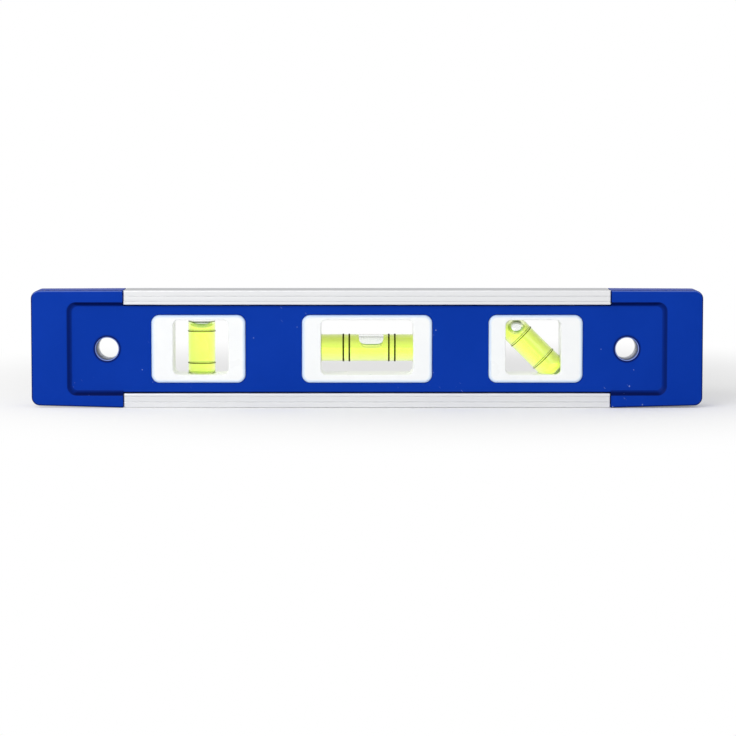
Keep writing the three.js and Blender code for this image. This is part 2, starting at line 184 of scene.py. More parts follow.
def fall(value, low, high):
    """1 where the value is under low, and 0 where it is over high."""
    return ramp(value, low, high, 1.0, 0.0)


def blend_colours(share, first, second, blend="MIX"):
    """The first colour where share is 0, and the second where it is 1."""
    sockets = {"Factor_Float": share, "A_Color": first, "B_Color": second}
    node = put(share.id_data, "ShaderNodeMix", sockets, data_type="RGBA", blend_type=blend)
    return next(s for s in node.outputs if s.identifier == "Result_Color")


def coordinates(tree, kind="Object"):
    """The place on a piece, or, as Normal, the way that its surface faces."""
    return put(tree, "ShaderNodeTexCoord").outputs[kind]


def parts(vector):
    """The X, Y and Z of a vector."""
    return put(vector.id_data, "ShaderNodeSeparateXYZ", {"Vector": vector}).outputs


def length(vector):
    """The length of a vector."""
    node = put(vector.id_data, "ShaderNodeVectorMath", {"Vector": vector}, operation="LENGTH")
    return node.outputs["Value"]


def distance(across, up):
    """How far a point is away, from its two distances at right angles."""
    return length(put(across.id_data, "ShaderNodeCombineXYZ", {"X": across, "Y": up}).outputs[0])


def stretched(place, **sockets):
    """Coordinates that are moved, turned and scaled, so that what they place is stretched."""
    node = put(place.id_data, "ShaderNodeMapping", {"Vector": place, **sockets}, vector_type="TEXTURE")
    return node.outputs[0]


def noise(place, scale, detail, **more):
    """The value of a noise texture."""
    sockets = {"Vector": place, "Scale": scale, "Detail": detail, **more}
    return put(place.id_data, "ShaderNodeTexNoise", sockets).outputs[0]


def relief(height, depth):
    """The normal of a surface with this height on it."""
    sockets = {"Height": height, "Distance": depth, "Strength": 1.0}
    return put(height.id_data, "ShaderNodeBump", sockets).outputs[0]


noise_middle = (0.3, 0.7)
print(f"most of a noise texture lies between {noise_middle[0]} and {noise_middle[1]}")

# %% [markdown]
# ## A plain studio
#
# The level stands in a white room. The world lights it evenly, and a Light Path node tells
# the rays that light it from those that show what is behind it: the camera sees plain white.
# Metal and glass also need something dark to mirror, or they look flat. So they alone see
# that the room is dimmer behind the camera.

# %% World
world_light = 0.56
front_in_metal = 0.8
front_in_glass = 0.3
dim_in_metal = (-0.5, 0.1)
dim_in_glass = (-0.2, 0.55)
white = (1, 1, 1, 1)


def pick(flag, off, on):
    """One value where a flag is 0, and the other where it is 1."""
    return ramp(flag, 0, 1, off, on)


def seen_directly(tree):
    """1 for a ray that shows the background: from the camera, off metal or through glass."""
    path = put(tree, "ShaderNodeLightPath").outputs
    seen = plus(path["Is Camera Ray"], path["Is Glossy Ray"])
    return math_node("ADD", seen, path["Is Transmission Ray"], clamp=True)


bpy.context.scene.view_settings.view_transform = "Standard"
world = bpy.data.worlds.new("studio")
bpy.context.scene.world = world
world.use_nodes = True
room = world.node_tree
room.nodes.clear()
backward = parts(coordinates(room, "Generated"))["Y"]
off_metal = ramp(backward, *dim_in_metal, front_in_metal, 1.0)
through_glass = ramp(backward, *dim_in_glass, front_in_glass, 1.0)
ray = put(room, "ShaderNodeLightPath").outputs
shown = pick(ray["Is Camera Ray"], pick(ray["Is Glossy Ray"], through_glass, off_metal), 1.0)
strength = pick(seen_directly(room), world_light, shown)
sky = put(room, "ShaderNodeBackground", {"Color": white, "Strength": strength})
put(room, "ShaderNodeOutputWorld", {"Surface": sky.outputs[0]})
print(f"the world lights the level at {world_light} and shows at 1")

# %% [markdown]
# The level lies on white paper that sweeps up behind it, so no edge of a table shows. Here
# the paper is flat, and some way from the level it fades to the white of the room. Close to
# the level it is real paper, which takes the soft shadow that makes the level stand.

# %% Floor
floor_half = 3.0
floor_drop = 0.1 * mm
floor_colour = (0.97, 0.97, 0.97, 1)
sweep_middle = (0.02, 0.09, 0.0)
sweep_scale = (0.9, 1.0, 1.0)
sweep_fade = (0.08, 0.25)
four_corners = [(-1, -1), (1, -1), (1, 1), (-1, 1)]


def mixed_shader(tree, share, first, second):
    """The first shader where share is 0, and the second where it is 1."""
    sockets = {"Fac": share, "Shader": first.outputs[0], "Shader_001": second.outputs[0]}
    return put(tree, "ShaderNodeMixShader", sockets).outputs[0]


def floor_material():
    """White paper, which fades to the plain background some way from the level."""
    material = bpy.data.materials.new("paper sweep")
    material.use_nodes = True
    tree = material.node_tree
    tree.nodes.clear()
    centred = stretched(coordinates(tree), Location=sweep_middle, Scale=sweep_scale)
    share = times(ramp(length(centred), *sweep_fade), seen_directly(tree))
    paper = put(tree, "ShaderNodeBsdfDiffuse", {"Color": floor_colour})
    glow = put(tree, "ShaderNodeEmission", {"Color": white, "Strength": 1.0})
    put(tree, "ShaderNodeOutputMaterial", {"Surface": mixed_shader(tree, share, paper, glow)})
    return material


floor_mesh = bpy.data.meshes.new("floor")
corners = [(a * floor_half, b * floor_half, -floor_drop) for a, b in four_corners]
floor_mesh.from_pydata(corners, [], [(0, 1, 2, 3)])
floor = loose("floor", floor_mesh)
floor.data.materials.append(floor_material())
floor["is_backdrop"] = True
print(f"floor {2 * floor_half} m wide")

# %% [markdown]
# Three soft lamps do the rest. A wide one overhead lights the floor and the top edges, and
# two in front light the faces. The left one is much stronger, so that every slope and round
# edge has a light and a dark side.

# %% Lamps
lamp_aim = Vector((0, 0, 0.02))
lamps = {
    "overhead": {"place": (-0.1, -0.2, 1.3), "size": (1.2, 0.8), "watts": 1.75},
    "front_left": {"place": (-0.5, -0.75, 0.5), "size": (0.6, 0.4), "watts": 4.35},
    "front_right": {"place": (0.8, -0.8, 0.45), "size": (0.7, 0.5), "watts": 1.0},
}
for name, lamp in lamps.items():
    light = bpy.data.lights.new(name, "AREA")
    light.shape = "RECTANGLE"
    light.size, light.size_y = lamp["size"]
    light.energy = lamp["watts"]
    holder = loose(name, light)
    holder.location = lamp["place"]
    look_at(holder, lamp_aim)
    print(f"lamp {name}: {lamp['watts']} W")

# %% [markdown]
# ## Effects that several finishes share
#
# Moulded plastic is never quite even. The mould is spark eroded, which leaves a fine grain,
# and the melt cools at different rates, which leaves faint clouds. Every finish also picks
# up specks of dust and short scratches once the tool is handled. Both effects are node
# groups, so each material can place them with its own values.

# %% Shared effects
scratch_slant = (0.1, 0.8, 0.15)
scratch_stretch = (9.0, 1.0, 1.0)
handled_scale = 38.0
handled_limits = (0.55, 0.66)


def new_group(name, inputs, *outputs):
    """A shader node group with named number sockets, and its input and output nodes."""
    tree = bpy.data.node_groups.new(name, "ShaderNodeTree")
    for label, value in inputs.items():
        socket = tree.interface.new_socket(label, in_out="INPUT", socket_type="NodeSocketFloat")
        socket.default_value = value
    for label in outputs:
        kind = "NodeSocketVector" if label == "Normal" else "NodeSocketFloat"
        tree.interface.new_socket(label, in_out="OUTPUT", socket_type=kind)
    return tree, put(tree, "NodeGroupInput").outputs, put(tree, "NodeGroupOutput")


def moulded_grain():
    """Fine grain as a normal, and slow clouds as a value from -1 to 1."""
    sizes = {"Grain Scale": 4200.0, "Grain Depth": 0.02 * mm, "Cloud Scale": 60.0}
    tree, given, made = new_group("moulded grain", sizes, "Normal", "Cloud")
    place = coordinates(tree)
    grain = noise(place, given["Grain Scale"], detail=3.0, Roughness=0.6)
    clouds = ramp(noise(place, given["Cloud Scale"], detail=4.0), *noise_middle, -1.0, 1.0)
    fill_named(made, Normal=relief(grain, given["Grain Depth"]), Cloud=clouds)
    return tree


def dots(place, scale, size):
    """1 within a distance of the middle of each cell of a Voronoi texture."""
    cells = put(place.id_data, "ShaderNodeTexVoronoi", {"Vector": place, "Scale": scale})
    return under(cells.outputs["Distance"], size)


def handling_marks():
    """Masks of dust specks and of short scratches, both only where hands have been."""
    sizes = {"Speck Scale": 330.0, "Speck Size": 0.09, "Scratch Scale": 300.0, "Scratch Width": 0.05}
    tree, given, made = new_group("handling marks", sizes, "Specks", "Scratches")
    place = coordinates(tree)
    handled = ramp(noise(place, handled_scale, detail=2.0), *handled_limits)
    slanted = stretched(place, Rotation=scratch_slant, Scale=scratch_stretch)
    specks = dots(place, given["Speck Scale"], given["Speck Size"])
    scratches = dots(slanted, given["Scratch Scale"], given["Scratch Width"])
    fill_named(made, Specks=times(specks, handled), Scratches=times(scratches, handled))
    return tree


grain_group = moulded_grain()
marks_group = handling_marks()
print("shared effects:", grain_group.name, "and", marks_group.name)

# %% [markdown]
# A finish starts as a Principled shader whose even values sit on its own sockets. Both
# plastics are then moulded in the same way: the clouds move their tone, scratches and
# clouds their roughness, and the grain their normal.

# %% Starting a finish
finishes = {}
cloud_roughness = 0.03
half_way = 0.5


def use_group(tree, group, **values):
    """Places a node group, with its inputs given by name."""
    node = put(tree, "ShaderNodeGroup", node_tree=group)
    fill_named(node, **values)
    return node.outputs


def new_material(name, **plain):
    """A material with a Principled shader, its even values set on its own sockets."""
    material = bpy.data.materials.new(name)
    material.use_nodes = True
    tree = material.node_tree
    tree.nodes.clear()
    shader = put(tree, "ShaderNodeBsdfPrincipled")
    fill_named(shader, **plain)
    put(tree, "ShaderNodeOutputMaterial", {"Surface": shader.outputs[0]})
    return material, tree, shader


def moulded_surface(shader, grain, scratches, scratched, base):
    """Gives a shader the grain, and a roughness that scratches and clouds move."""
    rough = plus(times(scratches, scratched), times(grain["Cloud"], cloud_roughness), base)
    fill_named(shader, Roughness=rough, Normal=grain["Normal"])


def clouded(grain, amount, first, second):
    """A tone half way between two colours, which the clouds move to either side."""
    return blend_colours(plus(times(grain["Cloud"], amount), half_way), first, second)


print(f"clouds move the roughness of a plastic by {cloud_roughness}")

# %% [markdown]
# ## Where things are
#
# Some finishes change with the place: the slope of a recess is darker, the seat of a tube is
# green. They find it from the same measures as the shapes do, so those measures are read
# from the solids before any finish is made.

# %% Measures of the body and the frames
body_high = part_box("body")[1]
rail_low, rail_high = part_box("top_rail")
half_length = body_high.x
half_thickness = rail_high.y
height = body_high.z
mid_height = height / 2
recess_depth = 1.6 * mm
web_half = half_thickness - recess_depth
hole_radius = 3.8 * mm
hole_lip = 0.45 * mm
hole_from_end = 25.8 * mm
frame_corner = 2.8 * mm


def frame_place(vial):
    """The middle, width and height of a vial's frames, from their solid."""
    low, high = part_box(f"{vial}_surround_front")
    return ((low.x + high.x) / 2, (low.z + high.z) / 2), high.x - low.x, high.z - low.z


print(f"web {2 * web_half / mm:.1f} mm thick, holes {2 * hole_radius / mm:.1f} mm wide")

# %% [markdown]
# A vial is known by its middle, its half length and how far it is turned from upright. The
# slanted one can't be read from its box alone: its closed end is a half ball that touches
# the top and the side of the box, and its open end is cut off square.

# %% Measures of the vials
barrel_radius = 4.6 * mm
vial_turns = {"plumb": 0, "level": 90, "angle": -45}
vial_facts = {}
for vial, turn in vial_turns.items():
    low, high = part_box(f"{vial}_vial_barrel")
    x, z = (low.x + high.x) / 2, (low.z + high.z) / 2
    half = max(high.x - low.x, high.z - low.z) / 2
    if vial == "angle":
        dome = high.z - mid_height - barrel_radius
        x, z = low.x + barrel_radius + dome, mid_height
        half = barrel_radius + dome * math.sqrt(2)
    turned = Matrix.Rotation(math.radians(turn), 4, "Y")
    matrix = Matrix.Translation((x, 0, z)) @ turned
    vial_facts[vial] = {"x": x, "z": z, "half": half, "turn": math.radians(turn), "matrix": matrix}
    print(f"{vial} vial: {2 * half / mm:.1f} mm long, turned {turn} degrees")

# %% [markdown]
# ## Blue moulded plastic
#
# The body is a single moulding in a strong blue, with the satin grain of the mould and
# slight clouds in the tone. The draft round the recess is painted much darker, a painted
# shade: the band is found where the surface turns away from the front and the back, inside
# the outline of the recess. The outer edges are found in the same way. They get a painted
# highlight where they face up, and painted shade below. A hang hole has a ring and a wall of
# painted shade, a painted highlight on its lip, and pale painted light deeper in its wall.

# %% Blue plastic
blue = (0.001, 0.033, 0.33, 1)
blue_pale = (0.003, 0.041, 0.385, 1)
# Painted shade: the dark blue of the recess slope, of the slots by the rails and of the hang holes.
blue_painted_shade = (0.0001, 0.0055, 0.08, 1)
blue_sheen = 0.04
blue_clouds = 0.2
blue_roughness = 0.46
blue_scratched = 0.16
dust = (0.2, 0.27, 0.55, 1)
dust_in_scratches = 0.6
# Painted highlight on the rounded edges that face up, and painted shade on the others.
edge_painted_highlight = (0.085, 0.15, 0.5, 1)
edge_painted_shade = (0.0004, 0.012, 0.14, 1)
recess_half_length = 102.6 * mm
recess_half_height = 16.3 * mm
slot_margin = 0.15 * mm
slot_height = 14.4 * mm
rim_shade_reach = 0.8 * mm
rim_shade = 0.6
slope_toe = 0.02 * mm
end_slope_share = 0.75
# Hang hole: a ring and a wall of painted shade, a painted highlight on the lip, and pale painted light
# deeper in the wall.
hole_shade_ring = 0.8 * mm
hole_lip_painted_highlight = (0.22, 0.3, 0.68, 1)
hole_wall_painted_shade = (0.05, 0.08, 0.18, 1)
hole_wall_painted_light = (0.85, 0.87, 0.9, 1)
hole_shade_starts = (-5.7 * mm, -5.2 * mm)
hole_light_starts = (-3.2 * mm, 2.4 * mm)
print(f"the rim of the recess is shaded over {rim_shade_reach / mm:.1f} mm")

# %% [markdown]
# How far the surface faces the front or the back is 1 on a face and 0 on a side. These are
# the limits between which each part of the body turns away.

# %% Where the blue body turns away
slope_facing = (0.9, 0.9995)
end_slope_facing = (0.0, 0.3)
edge_facing = (0.9, 0.97)
side_facing = (0.1, 0.35)
highlight_facing = (0.55, 0.68)
highlight_upward = (0.2, 0.4)
hole_wall_facing = (0.05, 0.3)
hole_lip_facing = (0.9, 0.99)


def hole_layers(place, facing):
    """A hang hole: painted shade on ring and wall, greyer further in, a painted lip highlight, painted
    light deepest in.
    """
    across = minus(size_of(place["X"]), half_length - hole_from_end)
    away = distance(across, minus(place["Z"], mid_height))
    outside = hole_radius + hole_lip
    near = under(away, outside)
    wall = times(near, fall(facing, *hole_wall_facing))
    return [
        (fall(away, outside, outside + hole_shade_ring), blue_painted_shade),
        (times(minus(near, wall), fall(facing, *hole_lip_facing)), hole_lip_painted_highlight),
        (wall, blue_painted_shade),
        (times(wall, ramp(place["Y"], *hole_shade_starts)), hole_wall_painted_shade),
        (times(wall, ramp(place["Y"], *hole_light_starts)), hole_wall_painted_light),
    ]


def recess_masks(place, normal, facing):
    """Where the recess is, and in it the slope and the slots beside the rails."""
    depth = size_of(place["Y"])
    up = size_of(minus(place["Z"], mid_height))
    in_recess = times(under(size_of(place["X"]), recess_half_length), under(up, recess_half_height))
    by_rim = ramp(depth, web_half, web_half + rim_shade_reach, rim_shade, 1.0)
    on_slope = ramp(depth, web_half, web_half + slope_toe)
    at_an_end = ramp(size_of(normal["X"]), *end_slope_facing, 1.0, end_slope_share)
    # Painted shade on the slope of the recess, weaker near the web.
    slope = times(in_recess, fall(facing, *slope_facing), by_rim, on_slope, at_an_end)
    # Painted shade also fills the slots beside the rails.
    slot = times(in_recess, under(depth, web_half - slot_margin), over(up, slot_height))
    return in_recess, larger(slope, slot)


def blue_plastic():
    material, tree, shader = new_material("blue plastic", IOR=1.5, Specular_IOR_Level=blue_sheen)
    grain = use_group(tree, grain_group, Grain_Scale=3800, Grain_Depth=0.016 * mm, Cloud_Scale=45)
    sizes = {"Speck_Scale": 300, "Speck_Size": 0.075, "Scratch_Scale": 900, "Scratch_Width": 0.07}
    marks = use_group(tree, marks_group, **sizes)
    place, normal = parts(coordinates(tree)), parts(coordinates(tree, "Normal"))
    facing = size_of(normal["Y"])
    in_recess, dark = recess_masks(place, normal, facing)
    # Painted highlight on the upper rounded edges and painted shade on the rest of them, then painted
    # shade on the slope, the slots and the hang holes.
    edge = times(fall(facing, *edge_facing), ramp(facing, *side_facing), minus(1.0, in_recess))
    highlighted = times(ramp(normal["Z"], *highlight_upward), ramp(facing, *highlight_facing))
    marked = larger(marks["Specks"], times(marks["Scratches"], dust_in_scratches))
    layers = [(edge, blend_colours(highlighted, edge_painted_shade, edge_painted_highlight)), (dark, blue_painted_shade)]
    layers += hole_layers(place, facing) + [(marked, dust)]
    tone = clouded(grain, blue_clouds, blue, blue_pale)
    for mask, colour in layers:
        tone = blend_colours(mask, tone, colour)
    fill_named(shader, Base_Color=tone)
    moulded_surface(shader, grain, marks["Scratches"], blue_scratched, blue_roughness)
    return material


finishes["blue_plastic"] = blue_plastic()
print("finished:", finishes["blue_plastic"].name)

# %% [markdown]
# ## Drawn aluminium
#
# The rails are drawn through a die and lightly blasted. The die leaves long fine lines, so
# a noise texture is stretched along X until it is nearly streaks, and it drives the height,
# the tone and the roughness together. Faces that point up or down get a dark tint in their
# reflection at a flat angle, a painted shade that keeps the strip of the top grey.

# %% Aluminium
metal = (0.785, 0.79, 0.8, 1)
metal_dark = (0.68, 0.685, 0.7, 1)
# Painted shade: a dark tint for the reflection of faces that point up or down.
reflection_painted_shade = (0.25, 0.255, 0.265, 1)
shaded_reflection_facing = (0.6, 0.95)
drawn_lines = (6.0, 1800.0, 1800.0)
streak_limits = (0.45, 0.75)
streak_share = 0.35
blast_scale = 5200.0
blast_share = 0.6
metal_relief = 0.006 * mm
metal_roughness = (0.44, 0.54)


def rail_aluminium():
    material, tree, shader = new_material("drawn aluminium", Metallic=1.0)
    place = coordinates(tree)
    drawn = put(tree, "ShaderNodeMapping", {"Vector": place, "Scale": drawn_lines})
    lines = noise(drawn.outputs[0], scale=1.0, detail=4.0)
    blasted = noise(place, blast_scale, detail=2.0)
    sizes = {"Speck_Scale": 420, "Speck_Size": 0.05, "Scratch_Scale": 380, "Scratch_Width": 0.03}
    scratches = use_group(tree, marks_group, **sizes)["Scratches"]
    marked = larger(times(ramp(lines, *streak_limits), streak_share), scratches)
    # Painted shade: the reflection darkens on faces that point up or down.
    shaded_reflection = ramp(size_of(parts(coordinates(tree, "Normal"))["Z"]), *shaded_reflection_facing)
    fill_named(
        shader,
        Base_Color=blend_colours(marked, metal, metal_dark),
        Specular_Tint=blend_colours(shaded_reflection, white, reflection_painted_shade),
        Roughness=ramp(lines, *noise_middle, *metal_roughness),
        Normal=relief(plus(lines, times(blasted, blast_share)), metal_relief),
    )
    return material


finishes["rail_aluminium"] = rail_aluminium()
print("finished:", finishes["rail_aluminium"].name)

# %% [markdown]
# ## White and pale plastics
#
# The vial frames are white and a little glossier than the body. White plastic shows almost
# no tone, so its life comes from a fine grain in the shine and from a few specks of dust.
# The stopper in the end of each tube is the same kind of plastic, in the pale green that
# soaks in from the liquid.

# %% Pale plastics
frame_white = (0.93, 0.945, 0.935, 1)
frame_shade = (0.9, 0.915, 0.92, 1)
frame_dirt = (0.6, 0.62, 0.62, 1)
stopper_tint = (0.72, 0.8, 0.62, 1)
stopper_shade = (0.6, 0.7, 0.46, 1)
stopper_dirt = (0.4, 0.45, 0.3, 1)
pale_sheen = 0.4
pale_clouds = 0.3
pale_specks = 0.5
pale_roughness = 0.3
pale_scratched = 0.2


def pale_plastic(name, tint, shade, dirt):
    """A fine-grained plastic, returned with its tree, its shader and its tone."""
    material, tree, shader = new_material(name, Specular_IOR_Level=pale_sheen, IOR=1.5)
    grain = use_group(tree, grain_group, Grain_Scale=5200, Grain_Depth=0.005 * mm, Cloud_Scale=90)
    sizes = {"Speck_Scale": 380, "Speck_Size": 0.05, "Scratch_Scale": 420, "Scratch_Width": 0.04}
    marks = use_group(tree, marks_group, **sizes)
    tone = clouded(grain, pale_clouds, tint, shade)
    tone = blend_colours(times(marks["Specks"], pale_specks), tone, dirt)
    fill_named(shader, Base_Color=tone)
    moulded_surface(shader, grain, marks["Scratches"], pale_scratched, pale_roughness)
    return material, tree, shader, tone


print(f"pale plastic starts at a roughness of {pale_roughness}, blue at {blue_roughness}")

# %% [markdown]
# Three things set the frames apart, and all three are painted light. The thin rim is tinted
# bluish, a painted reflection of the blue body. The seats are a darker green, painted shade
# coloured by the liquid of the tube. And the walls of the windows glow a little, painted light
# that brightens them.

# %% White plastic
# Painted reflection at the rim, painted light in the window walls, and painted shade in the seats.
frame_rim_painted_reflection = (0.58, 0.74, 1.0, 1)
frame_rim_reach = 1.3 * mm
frame_rim_margin = 0.1 * mm
wall_painted_light = 0.07
wall_facing = (0.3, 0.7)
seat_reach = 0.35 * mm
seat_painted_shade = (0.36, 0.52, 0.2, 1)


def frame_rim():
    """A value that rises from 0 to 1 towards the edge of one frame, and is 0 off the frame."""
    sizes = {"Middle": 0.0, "Half Width": 0.0, "Half Height": 0.0}
    tree, given, made = new_group("frame rim", sizes, "Rim")
    place = parts(coordinates(tree))
    beyond = []
    for axis, middle, half in (("X", given["Middle"], "Half Width"), ("Z", mid_height, "Half Height")):
        straight = minus(given[half], frame_corner)
        beyond.append(larger(minus(size_of(minus(place[axis], middle)), straight), 0.0))
    reach = distance(*beyond)
    near = ramp(reach, frame_corner - frame_rim_reach, frame_corner)
    fill_named(made, Rim=times(near, under(reach, frame_corner + frame_rim_margin)))
    return tree


def vial_seat():
    """1 in the seat of one tube: close to its axis, and no further along it than the tube."""
    sizes = {"Point X": 0.0, "Point Z": 0.0, "Axis X": 0.0, "Axis Z": 1.0, "Half Length": 0.0}
    tree, given, made = new_group("vial seat", sizes, "Seat")
    place = parts(coordinates(tree))
    right = minus(place["X"], given["Point X"])
    up = minus(place["Z"], given["Point Z"])
    aside = minus(times(right, given["Axis Z"]), times(up, given["Axis X"]))
    along = plus(times(right, given["Axis X"]), times(up, given["Axis Z"]))
    near = under(distance(aside, place["Y"]), barrel_radius + seat_reach)
    fill_named(made, Seat=times(near, under(size_of(along), given["Half Length"])))
    return tree


def white_plastic():
    """White plastic with painted reflection, shade and light: a blue rim, green seats, lit walls."""
    material, tree, shader, tone = pale_plastic("white plastic", frame_white, frame_shade, frame_dirt)
    rim_group, seat_group = frame_rim(), vial_seat()
    rim = seat = 0.0
    for vial, facts in vial_facts.items():
        middle, width, tall = frame_place(vial)
        sizes = {"Middle": middle[0], "Half_Width": width / 2, "Half_Height": tall / 2}
        rim = larger(use_group(tree, rim_group, **sizes)["Rim"], rim)
        line = {"Point_X": facts["x"], "Axis_X": math.sin(facts["turn"])}
        line |= {"Point_Z": facts["z"], "Axis_Z": math.cos(facts["turn"])}
        line["Half_Length"] = facts["half"] + seat_reach
        seat = larger(use_group(tree, seat_group, **line)["Seat"], seat)
    # Painted reflection of the body on the rim, painted light on the window walls, and painted green
    # shade in the seats.
    tone = blend_colours(rim, tone, frame_rim_painted_reflection, "MULTIPLY")
    facing = size_of(parts(coordinates(tree, "Normal"))["Y"])
    inner = math_node("SUBTRACT", minus(1.0, rim), seat, clamp=True)
    glow = times(ramp(facing, *wall_facing, wall_painted_light, 0.0), inner)
    tone = blend_colours(seat, tone, seat_painted_shade)
    fill_named(shader, Base_Color=tone, Emission_Color=white, Emission_Strength=glow)
    return material


finishes["white_plastic"] = white_plastic()
stopper_colours = (stopper_tint, stopper_shade, stopper_dirt)
finishes["stopper_plastic"] = pale_plastic("stopper plastic", *stopper_colours)[0]
print("finished:", finishes["white_plastic"].name, "and", finishes["stopper_plastic"].name)

# %% [markdown]
# ## Acrylic, liquid and air
#
# The vial is a thick acrylic tube full of a yellow-green liquid. Two choices make it look
# right. The colour comes from absorption inside the liquid, so thin parts are paler. A faint
# glow stands in for the fluorescent dye, as a painted glow: none on top and palest below. And
# each clear material lets shadow rays straight through, so that the lamps reach what lies
# behind the tubes.

# %% Clear materials
acrylic_tint = (0.985, 0.995, 0.98, 1)
acrylic_worn = (0.93, 0.95, 0.92, 1)
liquid_tint = (0.985, 1.0, 0.9, 1)
liquid_streak = (0.95, 0.995, 0.8, 1)
liquid_streaks = (0.45, 0.8)
liquid_absorbs = (0.93, 0.985, 0.12, 1)
liquid_density = 340.0
# Painted glow: an emission that stands in for the fluorescent dye, none on top and palest below.
liquid_painted_glow = (0.72, 1.0, 0.1, 1)
painted_glow_on_top = (0.05, 0.12, 0.0, 1)
painted_glow_below = (1.0, 1.0, 0.75, 1)
painted_glow_strength = 0.13
liquid_upward = (0.2, 0.7)
liquid_downward = (-0.9, -0.2)
liquid_shadow = (0.93, 0.98, 0.6, 1)
air_tint = (0.985, 0.99, 0.985, 1)
air_film = (0.94, 0.97, 0.93, 1)
air_film_limits = (0.55, 0.8)


def new_clear_material(name, shadow, **plain):
    """Light from a lamp passes as through tinted film, and every other ray is bent."""
    material, tree, shader = new_material(name, Transmission_Weight=1.0, Roughness=0.0, **plain)
    output = next(n for n in tree.nodes if n.type == "OUTPUT_MATERIAL")
    lamp_ray = put(tree, "ShaderNodeLightPath").outputs["Is Shadow Ray"]
    film = put(tree, "ShaderNodeBsdfTransparent", {"Color": shadow})
    fill_named(output, Surface=mixed_shader(tree, lamp_ray, shader, film))
    return material, tree, shader, output


def clear_acrylic():
    material, tree, shader, output = new_clear_material("clear acrylic", acrylic_tint, IOR=1.49)
    sizes = {"Speck_Scale": 520, "Speck_Size": 0.05, "Scratch_Scale": 500, "Scratch_Width": 0.03}
    scratches = use_group(tree, marks_group, **sizes)["Scratches"]
    fill_named(shader, Base_Color=blend_colours(scratches, acrylic_tint, acrylic_worn))
    return material


def vial_liquid():
    material, tree, shader, output = new_clear_material(
        "vial liquid", liquid_shadow, IOR=1.38, Emission_Strength=painted_glow_strength
    )
    streaks = ramp(noise(coordinates(tree), scale=240.0, detail=2.0, Distortion=1.5), *liquid_streaks)
    # Painted glow, set by the way the surface faces: palest below, none on top.
    upward = parts(coordinates(tree, "Normal"))["Z"]
    glow = blend_colours(ramp(upward, *liquid_downward), painted_glow_below, liquid_painted_glow)
    glow = blend_colours(ramp(upward, *liquid_upward), glow, painted_glow_on_top)
    tone = blend_colours(streaks, liquid_tint, liquid_streak)
    fill_named(shader, Base_Color=tone, Emission_Color=glow)
    dye = put(tree, "ShaderNodeVolumeAbsorption", {"Color": liquid_absorbs, "Density": liquid_density})
    fill_named(output, Volume=dye.outputs[0])
    return material


def bubble_air():
    material, tree, shader, output = new_clear_material("air", air_tint, IOR=1.001)
    film = ramp(noise(coordinates(tree), scale=700.0, detail=1.0), *air_film_limits)
    fill_named(shader, Base_Color=blend_colours(film, air_tint, air_film))
    return material


finishes["clear_acrylic"] = clear_acrylic()
finishes["vial_fluid"] = vial_liquid()
finishes["bubble_air"] = bubble_air()
print(f"finished: the clear materials, with a dye of density {liquid_density:.0f}")

# %% [markdown]
# ## Ring ink
#
# The reading rings are bands of dark ink. Printed ink is never a flat black: it is thinner
# in places, so a small noise moves both the tone and the shine.

# %% Ink
ink = (0.02, 0.02, 0.0, 1)
ink_thin = (0.09, 0.09, 0.001, 1)
ink_thin_limits = (0.5, 0.75)
ink_roughness = (0.35, 0.55)
ink_relief = 0.008 * mm


def ring_ink():
    material, tree, shader = new_material("ring ink", Specular_IOR_Level=0.02, IOR=1.5)
    patchy = noise(coordinates(tree), scale=1500.0, detail=3.0)
    fill_named(
        shader,
        Base_Color=blend_colours(ramp(patchy, *ink_thin_limits), ink, ink_thin),
        Roughness=ramp(patchy, *noise_middle, *ink_roughness),
        Normal=relief(patchy, ink_relief),
    )
    return material


finishes["ring_ink"] = ring_ink()
print("finishes:", ", ".join(finishes))

# %% [markdown]
# ## Tools for shaping
#
# Every piece here starts as a drawing in a plane. An outline is a polygon whose corners are
# rounded with arcs, and it becomes a ring when it is given a depth. What is the same on both
# sides of the level is drawn once and mirrored.

# %% Outlines and rings
arc_steps = 12


def rounded(corners):
    """The points of an outline whose corners (across, up, radius) are rounded with arcs."""
    points = []
    for i, (across, up, radius) in enumerate(corners):
        corner = Vector((across, up))
        back = (Vector(corners[i - 1][:2]) - corner).normalized()
        ahead = (Vector(corners[(i + 1) % len(corners)][:2]) - corner).normalized()
        if radius == 0:
            points.append(corner)
            continue
        half = back.angle(ahead) / 2
        centre = corner + (back + ahead).normalized() * radius / math.sin(half)
        start = corner + back * radius / math.tan(half) - centre
        turn = math.copysign(math.pi - 2 * half, ahead.cross(back))
        for step in range(arc_steps + 1):
            points.append(centre + Matrix.Rotation(turn * step / arc_steps, 2) @ start)
    return points


def rectangle(centre, width, height, radius, grow=0.0):
    """A rounded rectangle, grown or shrunk all round."""
    half_width, half_height = width / 2 + grow, height / 2 + grow
    places = [(centre[0] + a * half_width, centre[1] + b * half_height) for a, b in four_corners]
    return rounded([(*place, radius + grow) for place in places])


def ring_at(outline, depth):
    """An outline in X and Z as a ring of points at a depth along Y."""
    return [Vector((point.x, depth, point.y)) for point in outline]


def stepped(centre, width, tall, corner, steps):
    """Rings of a rounded rectangle that grows or shrinks on its way in, as (depth, grow)."""
    return [ring_at(rectangle(centre, width, tall, corner, grow), -depth) for depth, grow in steps]


def mirrored(rings):
    """The same rings on the other side of the middle plane, in the opposite order."""
    return [[Vector((p.x, -p.y, p.z)) for p in ring] for ring in reversed(rings)]


def both_sides(half):
    """A section from its right half, mirrored to the left."""
    return half + [(-y, z) for y, z in reversed(half)]


def arc(centre, radius, start, end, steps=arc_steps):
    """Points of an arc in a profile, with its angles in degrees."""
    angles = [math.radians(start + (end - start) * step / steps) for step in range(steps + 1)]
    return [(centre[0] + radius * math.cos(a), centre[1] + radius * math.sin(a)) for a in angles]


